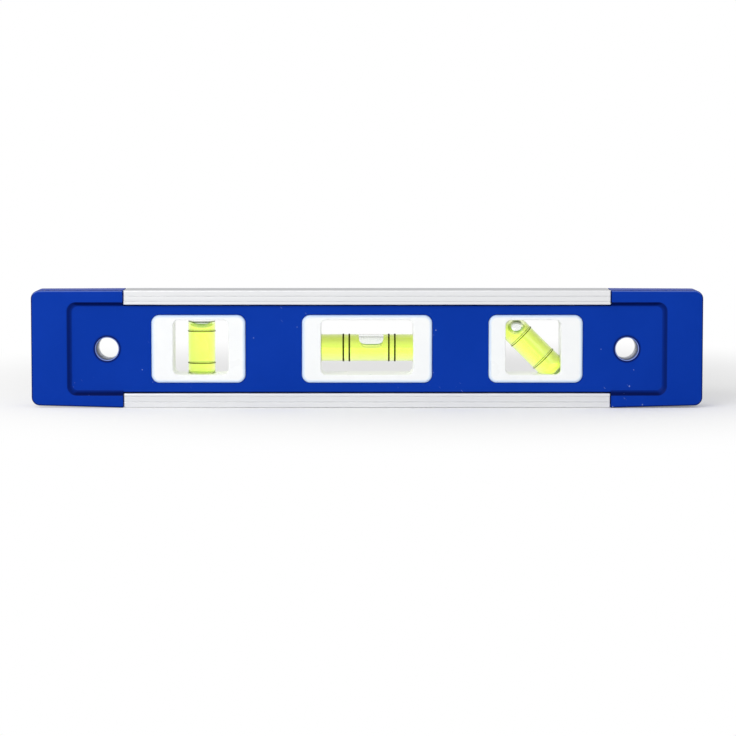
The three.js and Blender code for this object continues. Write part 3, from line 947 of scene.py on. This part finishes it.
def quarter_round(inward, down, steps):
    """A rounded edge from a face to its side: how far in and how far down each point lies."""
    angles = [math.pi / 2 * (1 - step / steps) for step in range(steps + 1)]
    return [(inward * (1 - math.cos(a)), down * (1 - math.sin(a))) for a in angles]


print(f"a rounded corner has {arc_steps + 1} points")

# %% [markdown]
# Two tools turn drawings into closed meshes. A shell joins rings of equal point counts, one
# after the other, and caps the ends. A turning joins rings round an axis. In both, edges
# sharper than a chosen angle are marked, so that the rest shades smooth.

# %% Shells and turnings
sharp_angle = math.radians(32)
same_place = 1e-7


def finished_mesh(name, shape, smooth=True):
    """A mesh from a bmesh, closed up, with its faces outward and its sharp edges marked."""
    bmesh.ops.remove_doubles(shape, verts=shape.verts, dist=same_place)
    bmesh.ops.recalc_face_normals(shape, faces=shape.faces)
    for face in shape.faces:
        face.smooth = smooth
    for edge in shape.edges:
        edge.smooth = len(edge.link_faces) == 2 and edge.calc_face_angle() < sharp_angle
    mesh = bpy.data.meshes.new(name)
    shape.to_mesh(mesh)
    shape.free()
    return mesh


def refinished(name, mesh):
    """The same mesh, finished again after something changed it."""
    shape = bmesh.new()
    shape.from_mesh(mesh)
    return finished_mesh(name, shape)


def shell(name, rings):
    """A closed shell through rings of equal point counts, capped at both ends."""
    shape = bmesh.new()
    rows = [[shape.verts.new(point) for point in ring] for ring in rings]
    for near, far in zip(rows, rows[1:]):
        for i in range(len(near)):
            shape.faces.new((near[i - 1], near[i], far[i], far[i - 1]))
    shape.faces.new(rows[0])
    shape.faces.new(rows[-1])
    return finished_mesh(name, shape)


def turning(name, profile, sides, closed=False, smooth=True):
    """A profile of (radius, height) turned about Z. Points on the axis become poles."""
    shape = bmesh.new()
    angles = [2 * math.pi * i / sides for i in range(sides)]
    rows = []
    for radius, height in profile:
        places = [(radius * math.cos(a), radius * math.sin(a), height) for a in angles]
        if radius < same_place:
            places = [(0, 0, height)]
        rows.append([shape.verts.new(place) for place in places])
    following = rows[1:] + (rows[:1] if closed else [])
    for near, far in zip(rows, following):
        if len(near) == len(far) == 1:
            continue
        for i in range(sides):
            corners = [near[i - 1 if len(near) > 1 else 0], near[i if len(near) > 1 else 0]]
            corners += [far[i if len(far) > 1 else 0], far[i - 1 if len(far) > 1 else 0]]
            shape.faces.new(list(dict.fromkeys(corners)))
    return finished_mesh(name, shape, smooth)


print(f"edges sharper than {math.degrees(sharp_angle):.0f} degrees stay sharp")

# %% [markdown]
# A cut is a Boolean modifier, which is applied at once. A finished mesh becomes a piece when
# it has its material, the body that it rides on, and the solids that it stands for.

# %% Cutting and dressing
def evaluated_copy(made):
    """The mesh that an object has after its modifiers."""
    graph = bpy.context.evaluated_depsgraph_get()
    return bpy.data.meshes.new_from_object(made.evaluated_get(graph), depsgraph=graph)


def boolean(work, name, operation, tool):
    """A modifier that cuts an object with a tool, or keeps what they have in common."""
    modifier = work.modifiers.new(name, "BOOLEAN")
    modifier.operation = operation
    modifier.solver = "EXACT"
    modifier.object = tool
    return modifier


def cut(mesh, tool_meshes, operation="DIFFERENCE"):
    """A mesh after each of the tools has been cut out of it, or kept in common with it."""
    name = mesh.name
    work = loose(name, mesh)
    for tool_mesh in tool_meshes:
        tool = loose("tool", tool_mesh)
        modifier = boolean(work, "cut", operation, tool)
        result = evaluated_copy(work)
        work.modifiers.remove(modifier)
        work.data = result
        bpy.data.objects.remove(tool)
    result = work.data
    bpy.data.objects.remove(work)
    return refinished(name, result)


def piece(name, mesh, body, finish, nodes, even_faces=False):
    """Dresses a finished mesh: its material, its body, and the solids that it stands for."""
    made = loose(name, mesh)
    made.data.materials.clear()
    made.data.materials.append(finishes[finish])
    if even_faces:
        made.modifiers.new("even shading", "WEIGHTED_NORMAL").keep_sharp = True
    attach(made, body)
    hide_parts(*nodes)
    print(f"{name}: {len(made.data.polygons)} faces, for {', '.join(nodes)}")
    return made


# %% [markdown]
# ## The body
#
# The moulding is a tray on each side: a rim at full thickness, and a web 1.6 mm deeper. The
# end blocks are a little lower than the rails and taper towards their ends, as the mould
# needs it. The rails, the pockets, the hang holes and the pipe groove are cut afterwards.

# %% Sizes of the body
rail_end_gap = 0.3 * mm
block_start = rail_high.x + rail_end_gap
block_length = half_length - block_start
block_corner = 2.8 * mm
block_top_fall = 0.1 * mm
block_base_rise = 0.75 * mm
block_taper = 0.6 * mm
block_edge = 0.65 * mm
edge_rings = 6

recess_end_rim = 11.9 * mm
recess_rim = 3.9 * mm
recess_end_slope = 2.2 * mm
recess_top_slope = 1.7 * mm
recess_base_slope = 2.2 * mm
recess_corner = 3.1 * mm
recess_floor_corner = 2.0 * mm
slope_rings = 14
print(f"blocks start {block_start / mm:.1f} mm from the middle")

# %% [markdown]
# The tray could be carved from a box, but then the soft S of the slope would be lost.
# Instead one shell runs from the middle of the front web, down its slope in reverse, over
# the rim, round the outer edge and back on the other side. Each of its rings has the same
# eight corners, two of them at either end of the rails.

# %% The tray
def face_depth(x):
    """How far the face stands from the middle plane: the end blocks taper outward."""
    along = max(abs(x) - block_start, 0) / block_length
    return half_thickness - block_taper * along


def long_outline(side, at_the_ends, between, corner):
    """An outline with one base and top at the ends, and another between the blocks."""
    base, top = at_the_ends
    low, high = between
    start = block_start
    lower = [(-side, base, corner), (-start, low, 0), (start, low, 0), (side, base, corner)]
    upper = [(side, top, corner), (start, high, 0), (-start, high, 0), (-side, top, corner)]
    return rounded(lower + upper)


def outer_outline(inset):
    """The outline of the whole body, drawn in by inset."""
    at_the_ends = (block_base_rise + inset, height - block_top_fall - inset)
    return long_outline(half_length - inset, at_the_ends, (inset, height - inset), block_corner - inset)


def recess_outline(share):
    """The outline of the recess, from its rim at share 0 to its floor at share 1."""
    side = half_length - recess_end_rim - recess_end_slope * share
    ends = (recess_rim + recess_base_slope * share, height - recess_rim - recess_top_slope * share)
    return long_outline(side, ends, ends, recess_corner + (recess_floor_corner - recess_corner) * share)


def tray_rings():
    """The rings of the front half, from the middle of the web out to the outer edge."""
    rings = []
    for i in range(slope_rings + 1):
        share = 1 - i / slope_rings
        rise = (1 + math.cos(math.pi * share)) / 2
        outline = recess_outline(share)
        depths = [web_half + (face_depth(p.x) - web_half) * rise for p in outline]
        rings.append([Vector((p.x, -depth, p.y)) for p, depth in zip(outline, depths)])
    for inset, sunk in quarter_round(block_edge, block_edge, edge_rings):
        rings.append([Vector((p.x, -(face_depth(p.x) - sunk), p.y)) for p in outer_outline(inset)])
    return rings


front = tray_rings()
tray = shell("moulded_body", front + mirrored(front))
print(f"the uncut body has {len(tray.polygons)} faces")

# %% [markdown]
# The tools that cut the tray come next. Each one is a shell too. The space for a rail is a
# long U with the undercut that its bead snaps into. That undercut draws the thin dark line
# along the rail, partly by its real shadow and partly by painted shade in the blue plastic.

# %% Sizes of the cuts
rail_wall = 1.4 * mm
rail_flange = height - rail_low.z
shadow_slot = 0.45 * mm
slot_depth = 1.0 * mm
slot_start = 1.4 * mm
groove_width = 6.5 * mm
groove_depth = 2.6 * mm
groove_flat = 0.8 * mm
ridge_clearance = 1.0 * mm
past = 1.0 * mm
hole_sides = 96
pocket_clearance = 0.08 * mm
pocket_ledge = 0.6 * mm
pocket_lip = 0.2 * mm
pocket_lip_bend = pocket_lip / 3
frame_plate = 2.4 * mm
print(f"every tool reaches {past / mm:.0f} mm past what it cuts")

# %% [markdown]
# The section of a rail's space is drawn for one side and mirrored, and the hole is a turning
# with a quarter round at each face. A pocket has a small lip at the face of the web, and a
# ledge further in for the frame to rest on.

# %% What is cut from the body
def bar(name, section, start, end):
    """A section of (y, z) points run along X."""
    return shell(name, [[Vector((x, y, z)) for y, z in section] for x in (start, end)])


def rail_space(top):
    """The U-shaped space of a rail, counted from the level's top or base."""
    slot = web_half - slot_depth
    right = [
        (web_half, rail_wall),
        (web_half, rail_flange - slot_start),
        (slot, rail_flange - slot_start),
        (slot, rail_flange + shadow_slot),
        (web_half, rail_flange + shadow_slot),
        (web_half, 2 * rail_flange),
        (half_thickness + past, 2 * rail_flange),
        (half_thickness + past, -past),
    ]
    if not top:
        over_groove = (groove_flat / 2 + ridge_clearance, groove_depth + rail_wall + rail_end_gap)
        right = [over_groove, (groove_width / 2 + ridge_clearance, rail_wall)] + right
    section = [(y, height - z if top else z) for y, z in both_sides(right)]
    return bar("rail space", section, -block_start, block_start)


def end_groove(side):
    """The pipe groove where it runs on through an end block."""
    slope = (groove_width - groove_flat) / 2 / groove_depth
    wide = groove_width / 2 + slope * past
    narrow = groove_flat / 2
    section = [(-wide, -past), (wide, -past), (narrow, groove_depth), (-narrow, groove_depth)]
    start, end = sorted((side * (block_start - past), side * (half_length + past)))
    return bar("groove", section, start, end)


def hang_hole(side):
    """A round hole with a rounded lip at each face of the web."""
    lip = hole_radius + hole_lip
    inside = web_half - hole_lip
    profile = [(0, -web_half - past), (lip, -web_half - past)]
    profile += arc((lip, -inside), hole_lip, 270, 180)
    profile += arc((lip, inside), hole_lip, 180, 90)
    profile += [(lip, web_half + past), (0, web_half + past)]
    mesh = turning("hole", profile, hole_sides)
    x = side * (half_length - hole_from_end)
    mesh.transform(Matrix.Translation((x, 0, mid_height)) @ Matrix.Rotation(math.pi / 2, 4, "X"))
    return mesh


def frame_face(vial):
    """How far the face of a vial's frame stands from the middle plane."""
    return -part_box(f"{vial}_surround_front")[0].y


def pocket(vial):
    """The stepped opening that one pair of frames fills."""
    ledge = frame_face(vial) - frame_plate
    steps = [
        (web_half + past, pocket_clearance + pocket_lip),
        (web_half, pocket_clearance + pocket_lip),
        (web_half - pocket_lip_bend, pocket_clearance + pocket_lip_bend),
        (web_half - pocket_lip, pocket_clearance),
        (ledge, pocket_clearance),
        (ledge, pocket_clearance - pocket_ledge),
    ]
    near = stepped(*frame_place(vial), frame_corner, steps)
    return shell("pocket", near + mirrored(near))


tools = [rail_space(True), rail_space(False), end_groove(-1), end_groove(1), hang_hole(-1), hang_hole(1)]
tools += [pocket(vial) for vial in vial_facts]
body_mesh = cut(tray, tools)
piece("moulded_body", body_mesh, "stock", "blue_plastic", ["body"], even_faces=True)

# %% [markdown]
# ## The rails
#
# A drawn rail is one section run along a line, so Geometry Nodes make it: Curve to Mesh
# sweeps the section along a path and fills the ends. The path has a point just inside each
# end, and the two end points are scaled down a little, which gives the sawn ends their
# small chamfer. The same tree makes both rails.

# %% The tree for a drawn rail
def geometry_tree(name, sockets):
    """An empty Geometry Nodes tree with its named inputs, and its input and output nodes."""
    tree = bpy.data.node_groups.new(name, "GeometryNodeTree")
    tree.interface.new_socket("Geometry", in_out="INPUT", socket_type="NodeSocketGeometry")
    for label, kind in sockets.items():
        tree.interface.new_socket(label, in_out="INPUT", socket_type=kind)
    tree.interface.new_socket("Geometry", in_out="OUTPUT", socket_type="NodeSocketGeometry")
    return tree, put(tree, "NodeGroupInput").outputs, put(tree, "NodeGroupOutput")


def finish_tree(tree, shape, material, made):
    """Makes a shape real, gives it its material and puts it out."""
    real = put(tree, "GeometryNodeRealizeInstances", {"Geometry": shape.outputs[0]})
    sockets = {"Geometry": real.outputs[0], "Material": material}
    fill_named(made, Geometry=put(tree, "GeometryNodeSetMaterial", sockets).outputs[0])
    return tree


def drawn_rail_tree():
    """Sweeps a section along the path that the object holds."""
    sockets = {"Section": "NodeSocketObject", "End Scale": "NodeSocketFloat"}
    tree, given, made = geometry_tree("drawn rail", {**sockets, "Material": "NodeSocketMaterial"})
    path = put(tree, "GeometryNodeMeshToCurve", {"Mesh": given["Geometry"]})
    source = put(tree, "GeometryNodeObjectInfo", {"Object": given["Section"]})
    section = put(tree, "GeometryNodeMeshToCurve", {"Mesh": source.outputs["Geometry"]})
    ends = put(tree, "GeometryNodeCurveEndpointSelection", {"Start Size": 1, "End Size": 1})
    choice = {"Switch": ends.outputs[0], "False": 1.0, "True": given["End Scale"]}
    scale = put(tree, "GeometryNodeSwitch", choice, input_type="FLOAT")
    sweep = {"Curve": path.outputs[0], "Profile Curve": section.outputs[0]}
    sweep |= {"Scale": scale.outputs[0], "Fill Caps": True}
    swept = put(tree, "GeometryNodeCurveToMesh", sweep)
    return finish_tree(tree, swept, given["Material"], made)


def grown(name, start_mesh, tree, **values):
    """The plain mesh that a Geometry Nodes tree makes from a start mesh and named inputs."""
    holder = loose(name, start_mesh)
    modifier = holder.modifiers.new(tree.name, "NODES")
    modifier.node_group = tree
    for item in tree.interface.items_tree:
        key = item.name.replace(" ", "_").lower()
        if item.in_out == "INPUT" and key in values:
            modifier[item.identifier] = values[key]
    result = evaluated_copy(holder)
    bpy.data.objects.remove(holder)
    return refinished(name, result)


def polyline(name, points, closed):
    """A mesh of edges only."""
    mesh = bpy.data.meshes.new(name)
    edges = [(i, i + 1) for i in range(len(points) - 1)]
    mesh.from_pydata(points, edges + [(len(points) - 1, 0)] * closed, [])
    return mesh


rail_tree = drawn_rail_tree()
print("tree:", rail_tree.name)

# %% [markdown]
# The section is drawn as half a profile and mirrored. Its outside edges are rounded, two
# fine scores run along each flank, and the lip at the bottom turns in to a bead that snaps
# under the tongue of the body. The base rail also has a V groove, so that the level can ride
# along a pipe.

# %% The rails
rail_edge = 0.35 * mm
score_places = (2.0 * mm, 3.75 * mm)
score_width = 0.36 * mm
score_depth = 0.17 * mm
score_steps = 4
bead_depth = 0.35 * mm
bead_height = 0.8 * mm
rail_end_chamfer = 0.25 * mm
flange_inside = half_thickness - rail_wall
mouth_edge = rail_edge / 2
mouth_slant = 210
mouth_steps = 4


def flank():
    """One flank of a rail, from its outer face down to the lip and back up inside."""
    points = arc((half_thickness - rail_edge, rail_edge), rail_edge, 270, 360)
    for place in score_places:
        for step in range(-score_steps, score_steps + 1):
            share = step / score_steps
            sunk = score_depth * (1 + math.cos(math.pi * share)) / 2
            points.append((half_thickness - sunk, place + score_width / 2 * share))
    points += arc((half_thickness - rail_edge, rail_flange - rail_edge), rail_edge, 0, 90)
    points += [
        (flange_inside - bead_depth, rail_flange),
        (flange_inside - bead_depth, rail_flange - bead_height),
        (flange_inside, rail_flange - bead_height - bead_depth),
        (flange_inside, rail_wall),
    ]
    return points


def rail_section(grooved):
    """A closed section as (y, distance from the outer face)."""
    if not grooved:
        return both_sides(flank())
    shoulder = rail_wall / 2
    mouth = [(groove_flat / 2, groove_depth)]
    mouth += arc((groove_width / 2 + mouth_edge, mouth_edge), mouth_edge, mouth_slant, 270, mouth_steps)
    ridge = [
        (groove_width / 2 + shoulder, rail_wall),
        (groove_flat / 2 + shoulder, groove_depth + rail_wall),
    ]
    return both_sides(mouth + flank() + ridge)


def rail(name, node, grooved):
    """A drawn rail: its section is swept about the middle of the flange height."""
    middle = rail_flange / 2
    points = [(-y, depth - middle, 0) for y, depth in rail_section(grooved)]
    section = loose("section", polyline("section", points, True))
    reach = rail_high.x
    stops = (-reach, rail_end_chamfer - reach, reach - rail_end_chamfer, reach)
    path = polyline(name, [(x, 0, 0) for x in stops], False)
    scale = 1 - rail_end_chamfer / half_thickness
    metal_finish = finishes["rail_aluminium"]
    mesh = grown(name, path, rail_tree, section=section, end_scale=scale, material=metal_finish)
    bpy.data.objects.remove(section)
    if grooved:
        mesh.transform(Matrix.Translation((0, 0, middle)) @ Matrix.Scale(-1, 4, (0, 0, 1)))
        mesh.flip_normals()
    else:
        mesh.transform(Matrix.Translation((0, 0, height - middle)))
    return piece(name, mesh, "stock", "rail_aluminium", [node], even_faces=True)


rail("drawn_top_rail", "top_rail", False)
rail("drawn_base_rail", "base_rail", True)

# %% [markdown]
# ## The vials and their frames
#
# Each vial is a tube with one closed end, held between a front and a rear frame of white
# plastic. The walls at its ends differ from vial to vial, because the liquid shows up to
# them. The slanted vial is closed by half a ball inside and out, and cut flat below.

# %% Sizes of the vials
bore_radius = 3.5 * mm
bore_crown = 0.12 * mm
seat_clearance = 0.25 * mm
tube_sides = 96
flat_end = {"round": 0.8 * mm, "bore_round": 0.7 * mm, "cut": 0.0}
ball_end = {"round": barrel_radius, "bore_round": bore_radius, "cut": 0.7 * mm}
ends_of_vials = {
    "plumb": {"closed_wall": 1.2 * mm, "open_wall": 0.8 * mm, "open_round": 1.25 * mm, **flat_end},
    "level": {"closed_wall": 1.2 * mm, "open_wall": 1.5 * mm, "open_round": 0.7 * mm, **flat_end},
    "angle": {"closed_wall": 1.3 * mm, "open_wall": 0.6 * mm, "open_round": 1.25 * mm, **ball_end},
}
for vial, facts in vial_facts.items():
    facts.update(ends_of_vials[vial])
    facts["open_end"] = facts["cut"] - facts["half"]
    print(f"{vial} vial: its open end wall is {facts['open_wall'] / mm:.1f} mm thick")

# %% [markdown]
# The outline of a tube serves twice: as it is for the tube, and a quarter of a millimetre
# larger for the round seat that the tube lies in.

# %% The outside of a tube
def tube_outside(vial, grow):
    """Half the outline of a tube, from the flat of its open end to the pole of the closed one."""
    facts = vial_facts[vial]
    radius, bend = barrel_radius + grow, facts["round"] + grow
    base = facts["open_end"] - grow
    shoulder = facts["half"] - facts["round"]
    start = math.degrees(math.asin(min(1, (-base - shoulder) / bend)))
    lower = arc((radius - bend, -shoulder), bend, -start, 0)
    upper = arc((radius - bend, shoulder), bend, 0, 90)
    if facts["round"] < barrel_radius:
        upper.append((0, facts["half"] + grow))
    return lower + upper, base


def vial_turning(vial, name, profile, sides, **options):
    """A profile turned about the axis of a vial, and put in its place."""
    mesh = turning(name, profile, sides, **options)
    mesh.transform(vial_facts[vial]["matrix"])
    return mesh


def seat(vial):
    """The round seat that a tube lies in."""
    outside, base = tube_outside(vial, seat_clearance)
    return vial_turning(vial, "seat", [(0, base)] + outside, tube_sides)


print(f"a seat is {seat_clearance / mm:.2f} mm wider than its tube all round")

# %% [markdown]
# A frame is a shell with a soft pillowed edge and a step behind it that rests on the ledge
# of the body. The window has a rounded lip and narrows towards the middle, as the mould
# needs it, and the seat for the tube is cut across it. The rear frame is the front one
# mirrored.

# %% The frames
frame_edge = 0.9 * mm
frame_proud = 0.7 * mm
frame_seam = 0.1 * mm
frame_edge_rings = 8
window_rim = 2.2 * mm
window_end_rims = {"plumb": 6.55 * mm, "level": 6.4 * mm, "angle": 6.55 * mm}
window_shifts = {"plumb": 0.8 * mm, "level": 0.0, "angle": -0.8 * mm}
window_corner = 1.9 * mm
window_rise = 0.5 * mm
window_narrowing = 0.2 * mm
window_lip = 0.3 * mm
window_lip_rings = 4


def frame_shell(vial):
    """The front frame before it is pierced."""
    face = frame_face(vial)
    ledge = face - frame_plate
    edge = quarter_round(frame_edge, frame_proud, frame_edge_rings)
    steps = [(face - sunk, -inset) for inset, sunk in edge]
    steps += [(ledge, 0), (ledge, -pocket_ledge), (frame_seam / 2, -pocket_ledge)]
    return shell(f"{vial}_frame", stepped(*frame_place(vial), frame_corner, steps))


def window(vial):
    """The tool that opens the window: a rounded lip, then a slight draft to the middle."""
    centre, width, tall = frame_place(vial)
    face = frame_face(vial)
    middle = (centre[0] + window_shifts[vial], centre[1] + window_rise)
    across = width - 2 * window_end_rims[vial]
    up = tall - 2 * window_rim
    lip = quarter_round(window_lip, window_lip, window_lip_rings)
    steps = [(face + past, window_lip)] + [(face - sunk, inset) for inset, sunk in lip]
    steps += [(0, -window_narrowing), (-past, -window_narrowing)]
    return shell("window", stepped(middle, across, up, window_corner, steps))


for vial in vial_facts:
    front_mesh = cut(frame_shell(vial), [window(vial), seat(vial)])
    rear_mesh = front_mesh.copy()
    rear_mesh.transform(Matrix.Scale(-1, 4, (0, 1, 0)))
    rear_mesh.flip_normals()
    for where, mesh in (("front", front_mesh), ("rear", rear_mesh)):
        node = f"{vial}_surround_{where}"
        piece(f"{vial}_frame_{where}", mesh, "stock", "white_plastic", [node], even_faces=True)

# %% [markdown]
# ## Tubes and stoppers
#
# A tube is a turning: the outside runs from the open end to the closed one, and the bore runs
# back. The bore is a barrel shape, widest in the middle by a tenth of a millimetre, which is
# what makes the bubble come to rest there. Its open end is rounded, so that the liquid ends
# in a soft curve. A stopper closes that end.

# %% Tubes and stoppers
crown_steps = 24
open_round_steps = 8
stopper_radius = 1.9 * mm
stopper_clearance = 0.1 * mm
stopper_set_back = 0.2 * mm
stopper_edge = 0.15 * mm
stopper_edge_steps = 4
stopper_sides = 48
liquid_reach = 0.02 * mm


def bore(vial, film):
    """Half the outline of a bore, drawn in by film, from the open end to the closed one."""
    facts = vial_facts[vial]
    closed = facts["half"] - facts["closed_wall"] - film
    opened = facts["open_end"] + facts["open_wall"] + film
    end = bore_radius - film - bore_crown
    bend = min(facts["bore_round"], end)
    top = closed - bend
    round_off = facts["open_round"] - film
    side_start = opened + round_off
    points = arc((end - round_off, side_start), round_off, -90, 0, open_round_steps)
    for step in range(1, crown_steps):
        share = 2 * step / crown_steps - 1
        height_here = side_start + (top - side_start) * step / crown_steps
        points.append((bore_radius - film - bore_crown * share * share, height_here))
    points += arc((end - bend, top), bend, 0, 90)
    if end - bend > same_place:
        points.append((0, closed))
    return points, opened


def tube(vial):
    outside, base = tube_outside(vial, 0)
    inside, opened = bore(vial, 0)
    hole = stopper_radius + stopper_clearance
    profile = [(hole, base)] + outside + inside[::-1] + [(hole, opened)]
    mesh = vial_turning(vial, f"{vial}_tube", profile, tube_sides, closed=True)
    return piece(f"{vial}_tube", mesh, "stock", "clear_acrylic", [f"{vial}_vial_barrel"])


def stopper(vial):
    facts = vial_facts[vial]
    base = facts["open_end"] + stopper_set_back
    top = facts["open_end"] + facts["open_wall"]
    side = stopper_radius + stopper_clearance + liquid_reach
    edge_middle = (side - stopper_edge, base + stopper_edge)
    profile = [(0, base)] + arc(edge_middle, stopper_edge, -90, 0, stopper_edge_steps)
    profile += [(side, top), (0, top)]
    mesh = vial_turning(vial, f"{vial}_stopper", profile, stopper_sides)
    return piece(f"{vial}_stopper", mesh, "stock", "stopper_plastic", [f"{vial}_vial_plug"])


for vial in vial_facts:
    tube(vial)
    stopper(vial)

# %% [markdown]
# ## Reading rings
#
# The rings repeat along each tube, so they are made with Geometry Nodes: a small rounded
# profile is swept round a circle, and the ring is then copied to every point that the object
# holds. The tree takes its sizes as named inputs, so one tree serves all three vials. The
# level vial is read most closely, and has four rings, which are also the widest.

# %% Reading rings
ring_widths = {"plumb": 0.28 * mm, "level": 0.55 * mm, "angle": 0.24 * mm}
ring_height = 0.12 * mm
ring_clearance = 0.03 * mm
ring_edge = 0.04 * mm
ring_edge_steps = 3
ring_sides = 96
near_ring, far_ring = 6.75 * mm, 8.8 * mm
plumb_ring_from_end = 4.55 * mm
angle_ring_from_end = 6.95 * mm
plumb_ring = vial_facts["plumb"]["half"] - plumb_ring_from_end
angle_ring = vial_facts["angle"]["half"] - angle_ring_from_end
ring_places = {
    "plumb": (-plumb_ring, plumb_ring),
    "level": (-far_ring, -near_ring, near_ring, far_ring),
    "angle": (-angle_ring, angle_ring),
}


def reading_ring_tree():
    """Copies a ring, made from its sizes, to every point of the object."""
    sizes = {name: "NodeSocketFloat" for name in ("Radius", "Width", "Height", "Edge")}
    tree, given, made = geometry_tree("reading rings", {**sizes, "Material": "NodeSocketMaterial"})
    round_tube = {"Resolution": ring_sides, "Radius": given["Radius"]}
    circle = put(tree, "GeometryNodeCurvePrimitiveCircle", round_tube)
    across = {"Width": given["Height"], "Height": given["Width"]}
    band = put(tree, "GeometryNodeCurvePrimitiveQuadrilateral", across)
    edges = {"Curve": band.outputs[0], "Radius": given["Edge"], "Count": ring_edge_steps}
    soft = put(tree, "GeometryNodeFilletCurve", edges, mode="POLY")
    sweep = {"Curve": circle.outputs[0], "Profile Curve": soft.outputs[0]}
    ring = put(tree, "GeometryNodeCurveToMesh", sweep)
    spread = {"Points": given["Geometry"], "Instance": ring.outputs[0]}
    copies = put(tree, "GeometryNodeInstanceOnPoints", spread)
    return finish_tree(tree, copies, given["Material"], made)


ring_tree = reading_ring_tree()
for vial, places in ring_places.items():
    name = f"{vial}_rings"
    mesh = grown(
        name,
        polyline(name, [(0, 0, place) for place in places], False),
        ring_tree,
        radius=barrel_radius + ring_clearance + ring_height / 2,
        width=ring_widths[vial],
        height=ring_height,
        edge=ring_edge,
        material=finishes["ring_ink"],
    )
    mesh.transform(vial_facts[vial]["matrix"])
    nodes = [f"{vial}_ring_{i + 1}" for i in range(len(places))]
    piece(name, mesh, "stock", "ring_ink", nodes)

# %% [markdown]
# ## Liquid and bubbles
#
# A bubble shows because the liquid is missing there, so the liquid really has a hollow. The
# hollow has to travel with its bubble when the level is tipped, and a Boolean modifier that
# stays live does that: its tool rides on the bubble's body and is not rendered. The liquid
# reaches a hair into the wall of the tube, which hides the thin gap that would otherwise
# mirror the light inside the tube. The bubble itself is only a faint film of air.

# %% Liquid and bubbles
liquid_sides = 192
hollow_reach = 0.04 * mm
hollow_gap = 0.03 * mm
bubble_film = 0.15 * mm
level_bubble_sink = 0.5 * mm
plumb_bubble_sink = 0.35 * mm
angle_bubble_rise = 1.25 * mm
bubble_shapes = {
    "level": {"long": 4.2 * mm, "deep": 4.3 * mm, "tall": 3.1 * mm, "square": 4.0},
    "plumb": {"long": 3.2 * mm, "deep": 3.6 * mm, "tall": 2.05 * mm, "square": 2.0},
    "angle": {"long": 2.35 * mm, "deep": 4.0 * mm, "tall": 2.0 * mm, "square": 2.0},
}
ball_rows = 32


def bubble_centre(vial):
    """The middle of the ball that shapes a bubble, from the place of its solid."""
    low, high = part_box(f"{vial}_bubble")
    facts = vial_facts[vial]
    closed = facts["half"] - facts["closed_wall"]
    if vial == "level":
        return Vector(((low.x + high.x) / 2, 0, facts["z"] + bore_radius - level_bubble_sink))
    if vial == "plumb":
        return Vector((facts["x"], 0, facts["z"] + closed - plumb_bubble_sink))
    dome = (closed - bore_radius + bore_crown) / math.sqrt(2)
    return Vector((facts["x"] - dome, 0, facts["z"] + dome + angle_bubble_rise))


def bubble_mesh(name, vial, film, grow):
    """The part of a bubble's ball that lies in the bore, drawn in by film."""
    shape = bubble_shapes[vial]
    ball = turning("ball", arc((0, 0), 1, -90, 90, ball_rows), liquid_sides // 2)
    power = shape["square"]
    for vertex in ball.vertices:
        along = abs(vertex.co.x if vial == "level" else vertex.co.z)
        across = math.sqrt(max(vertex.co.length_squared - along * along, 0))
        vertex.co /= (along**power + across**power) ** (1 / power)
    scale = (shape["long"] + grow, shape["deep"] + grow, shape["tall"] + grow)
    ball.transform(Matrix.Translation(bubble_centre(vial)) @ Matrix.Diagonal((*scale, 1)))
    inside, opened = bore(vial, film)
    room_in_bore = vial_turning(vial, name, [(0, opened)] + inside, liquid_sides)
    return cut(room_in_bore, [ball], "INTERSECT")


def liquid(vial, hollow):
    """The liquid, with a hollow that follows the bubble."""
    name = f"{vial}_liquid"
    inside, opened = bore(vial, -liquid_reach)
    mesh = vial_turning(vial, name, [(0, opened)] + inside, liquid_sides, smooth=False)
    made = piece(name, mesh, "stock", "vial_fluid", [f"{vial}_fluid"])
    boolean(made, "hollow", "DIFFERENCE", hollow)
    return made


for vial in vial_facts:
    body = f"{vial}_air"
    air = bubble_mesh(f"{vial}_air_bubble", vial, bubble_film, 0)
    piece(f"{vial}_air_bubble", air, body, "bubble_air", [f"{vial}_bubble"])
    hollow = loose(f"{vial}_hollow", bubble_mesh(f"{vial}_hollow", vial, -hollow_reach, hollow_gap))
    hollow.hide_render = True
    hollow.hide_viewport = True
    hollow.data.materials.append(finishes["vial_fluid"])
    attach(hollow, body)
    liquid(vial, hollow)

# %% [markdown]
# ## Check and finish
#
# Last, the box of what was modelled is compared with the box of the solids. The dressed
# level should be exactly as large as the frame it was built on.

# %% Sizes, and the end
new_low, new_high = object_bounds()
differences = [round((b - a) / mm, 3) for a, b in zip((*cad_low, *cad_high), (*new_low, *new_high))]
print("difference in mm:", differences)
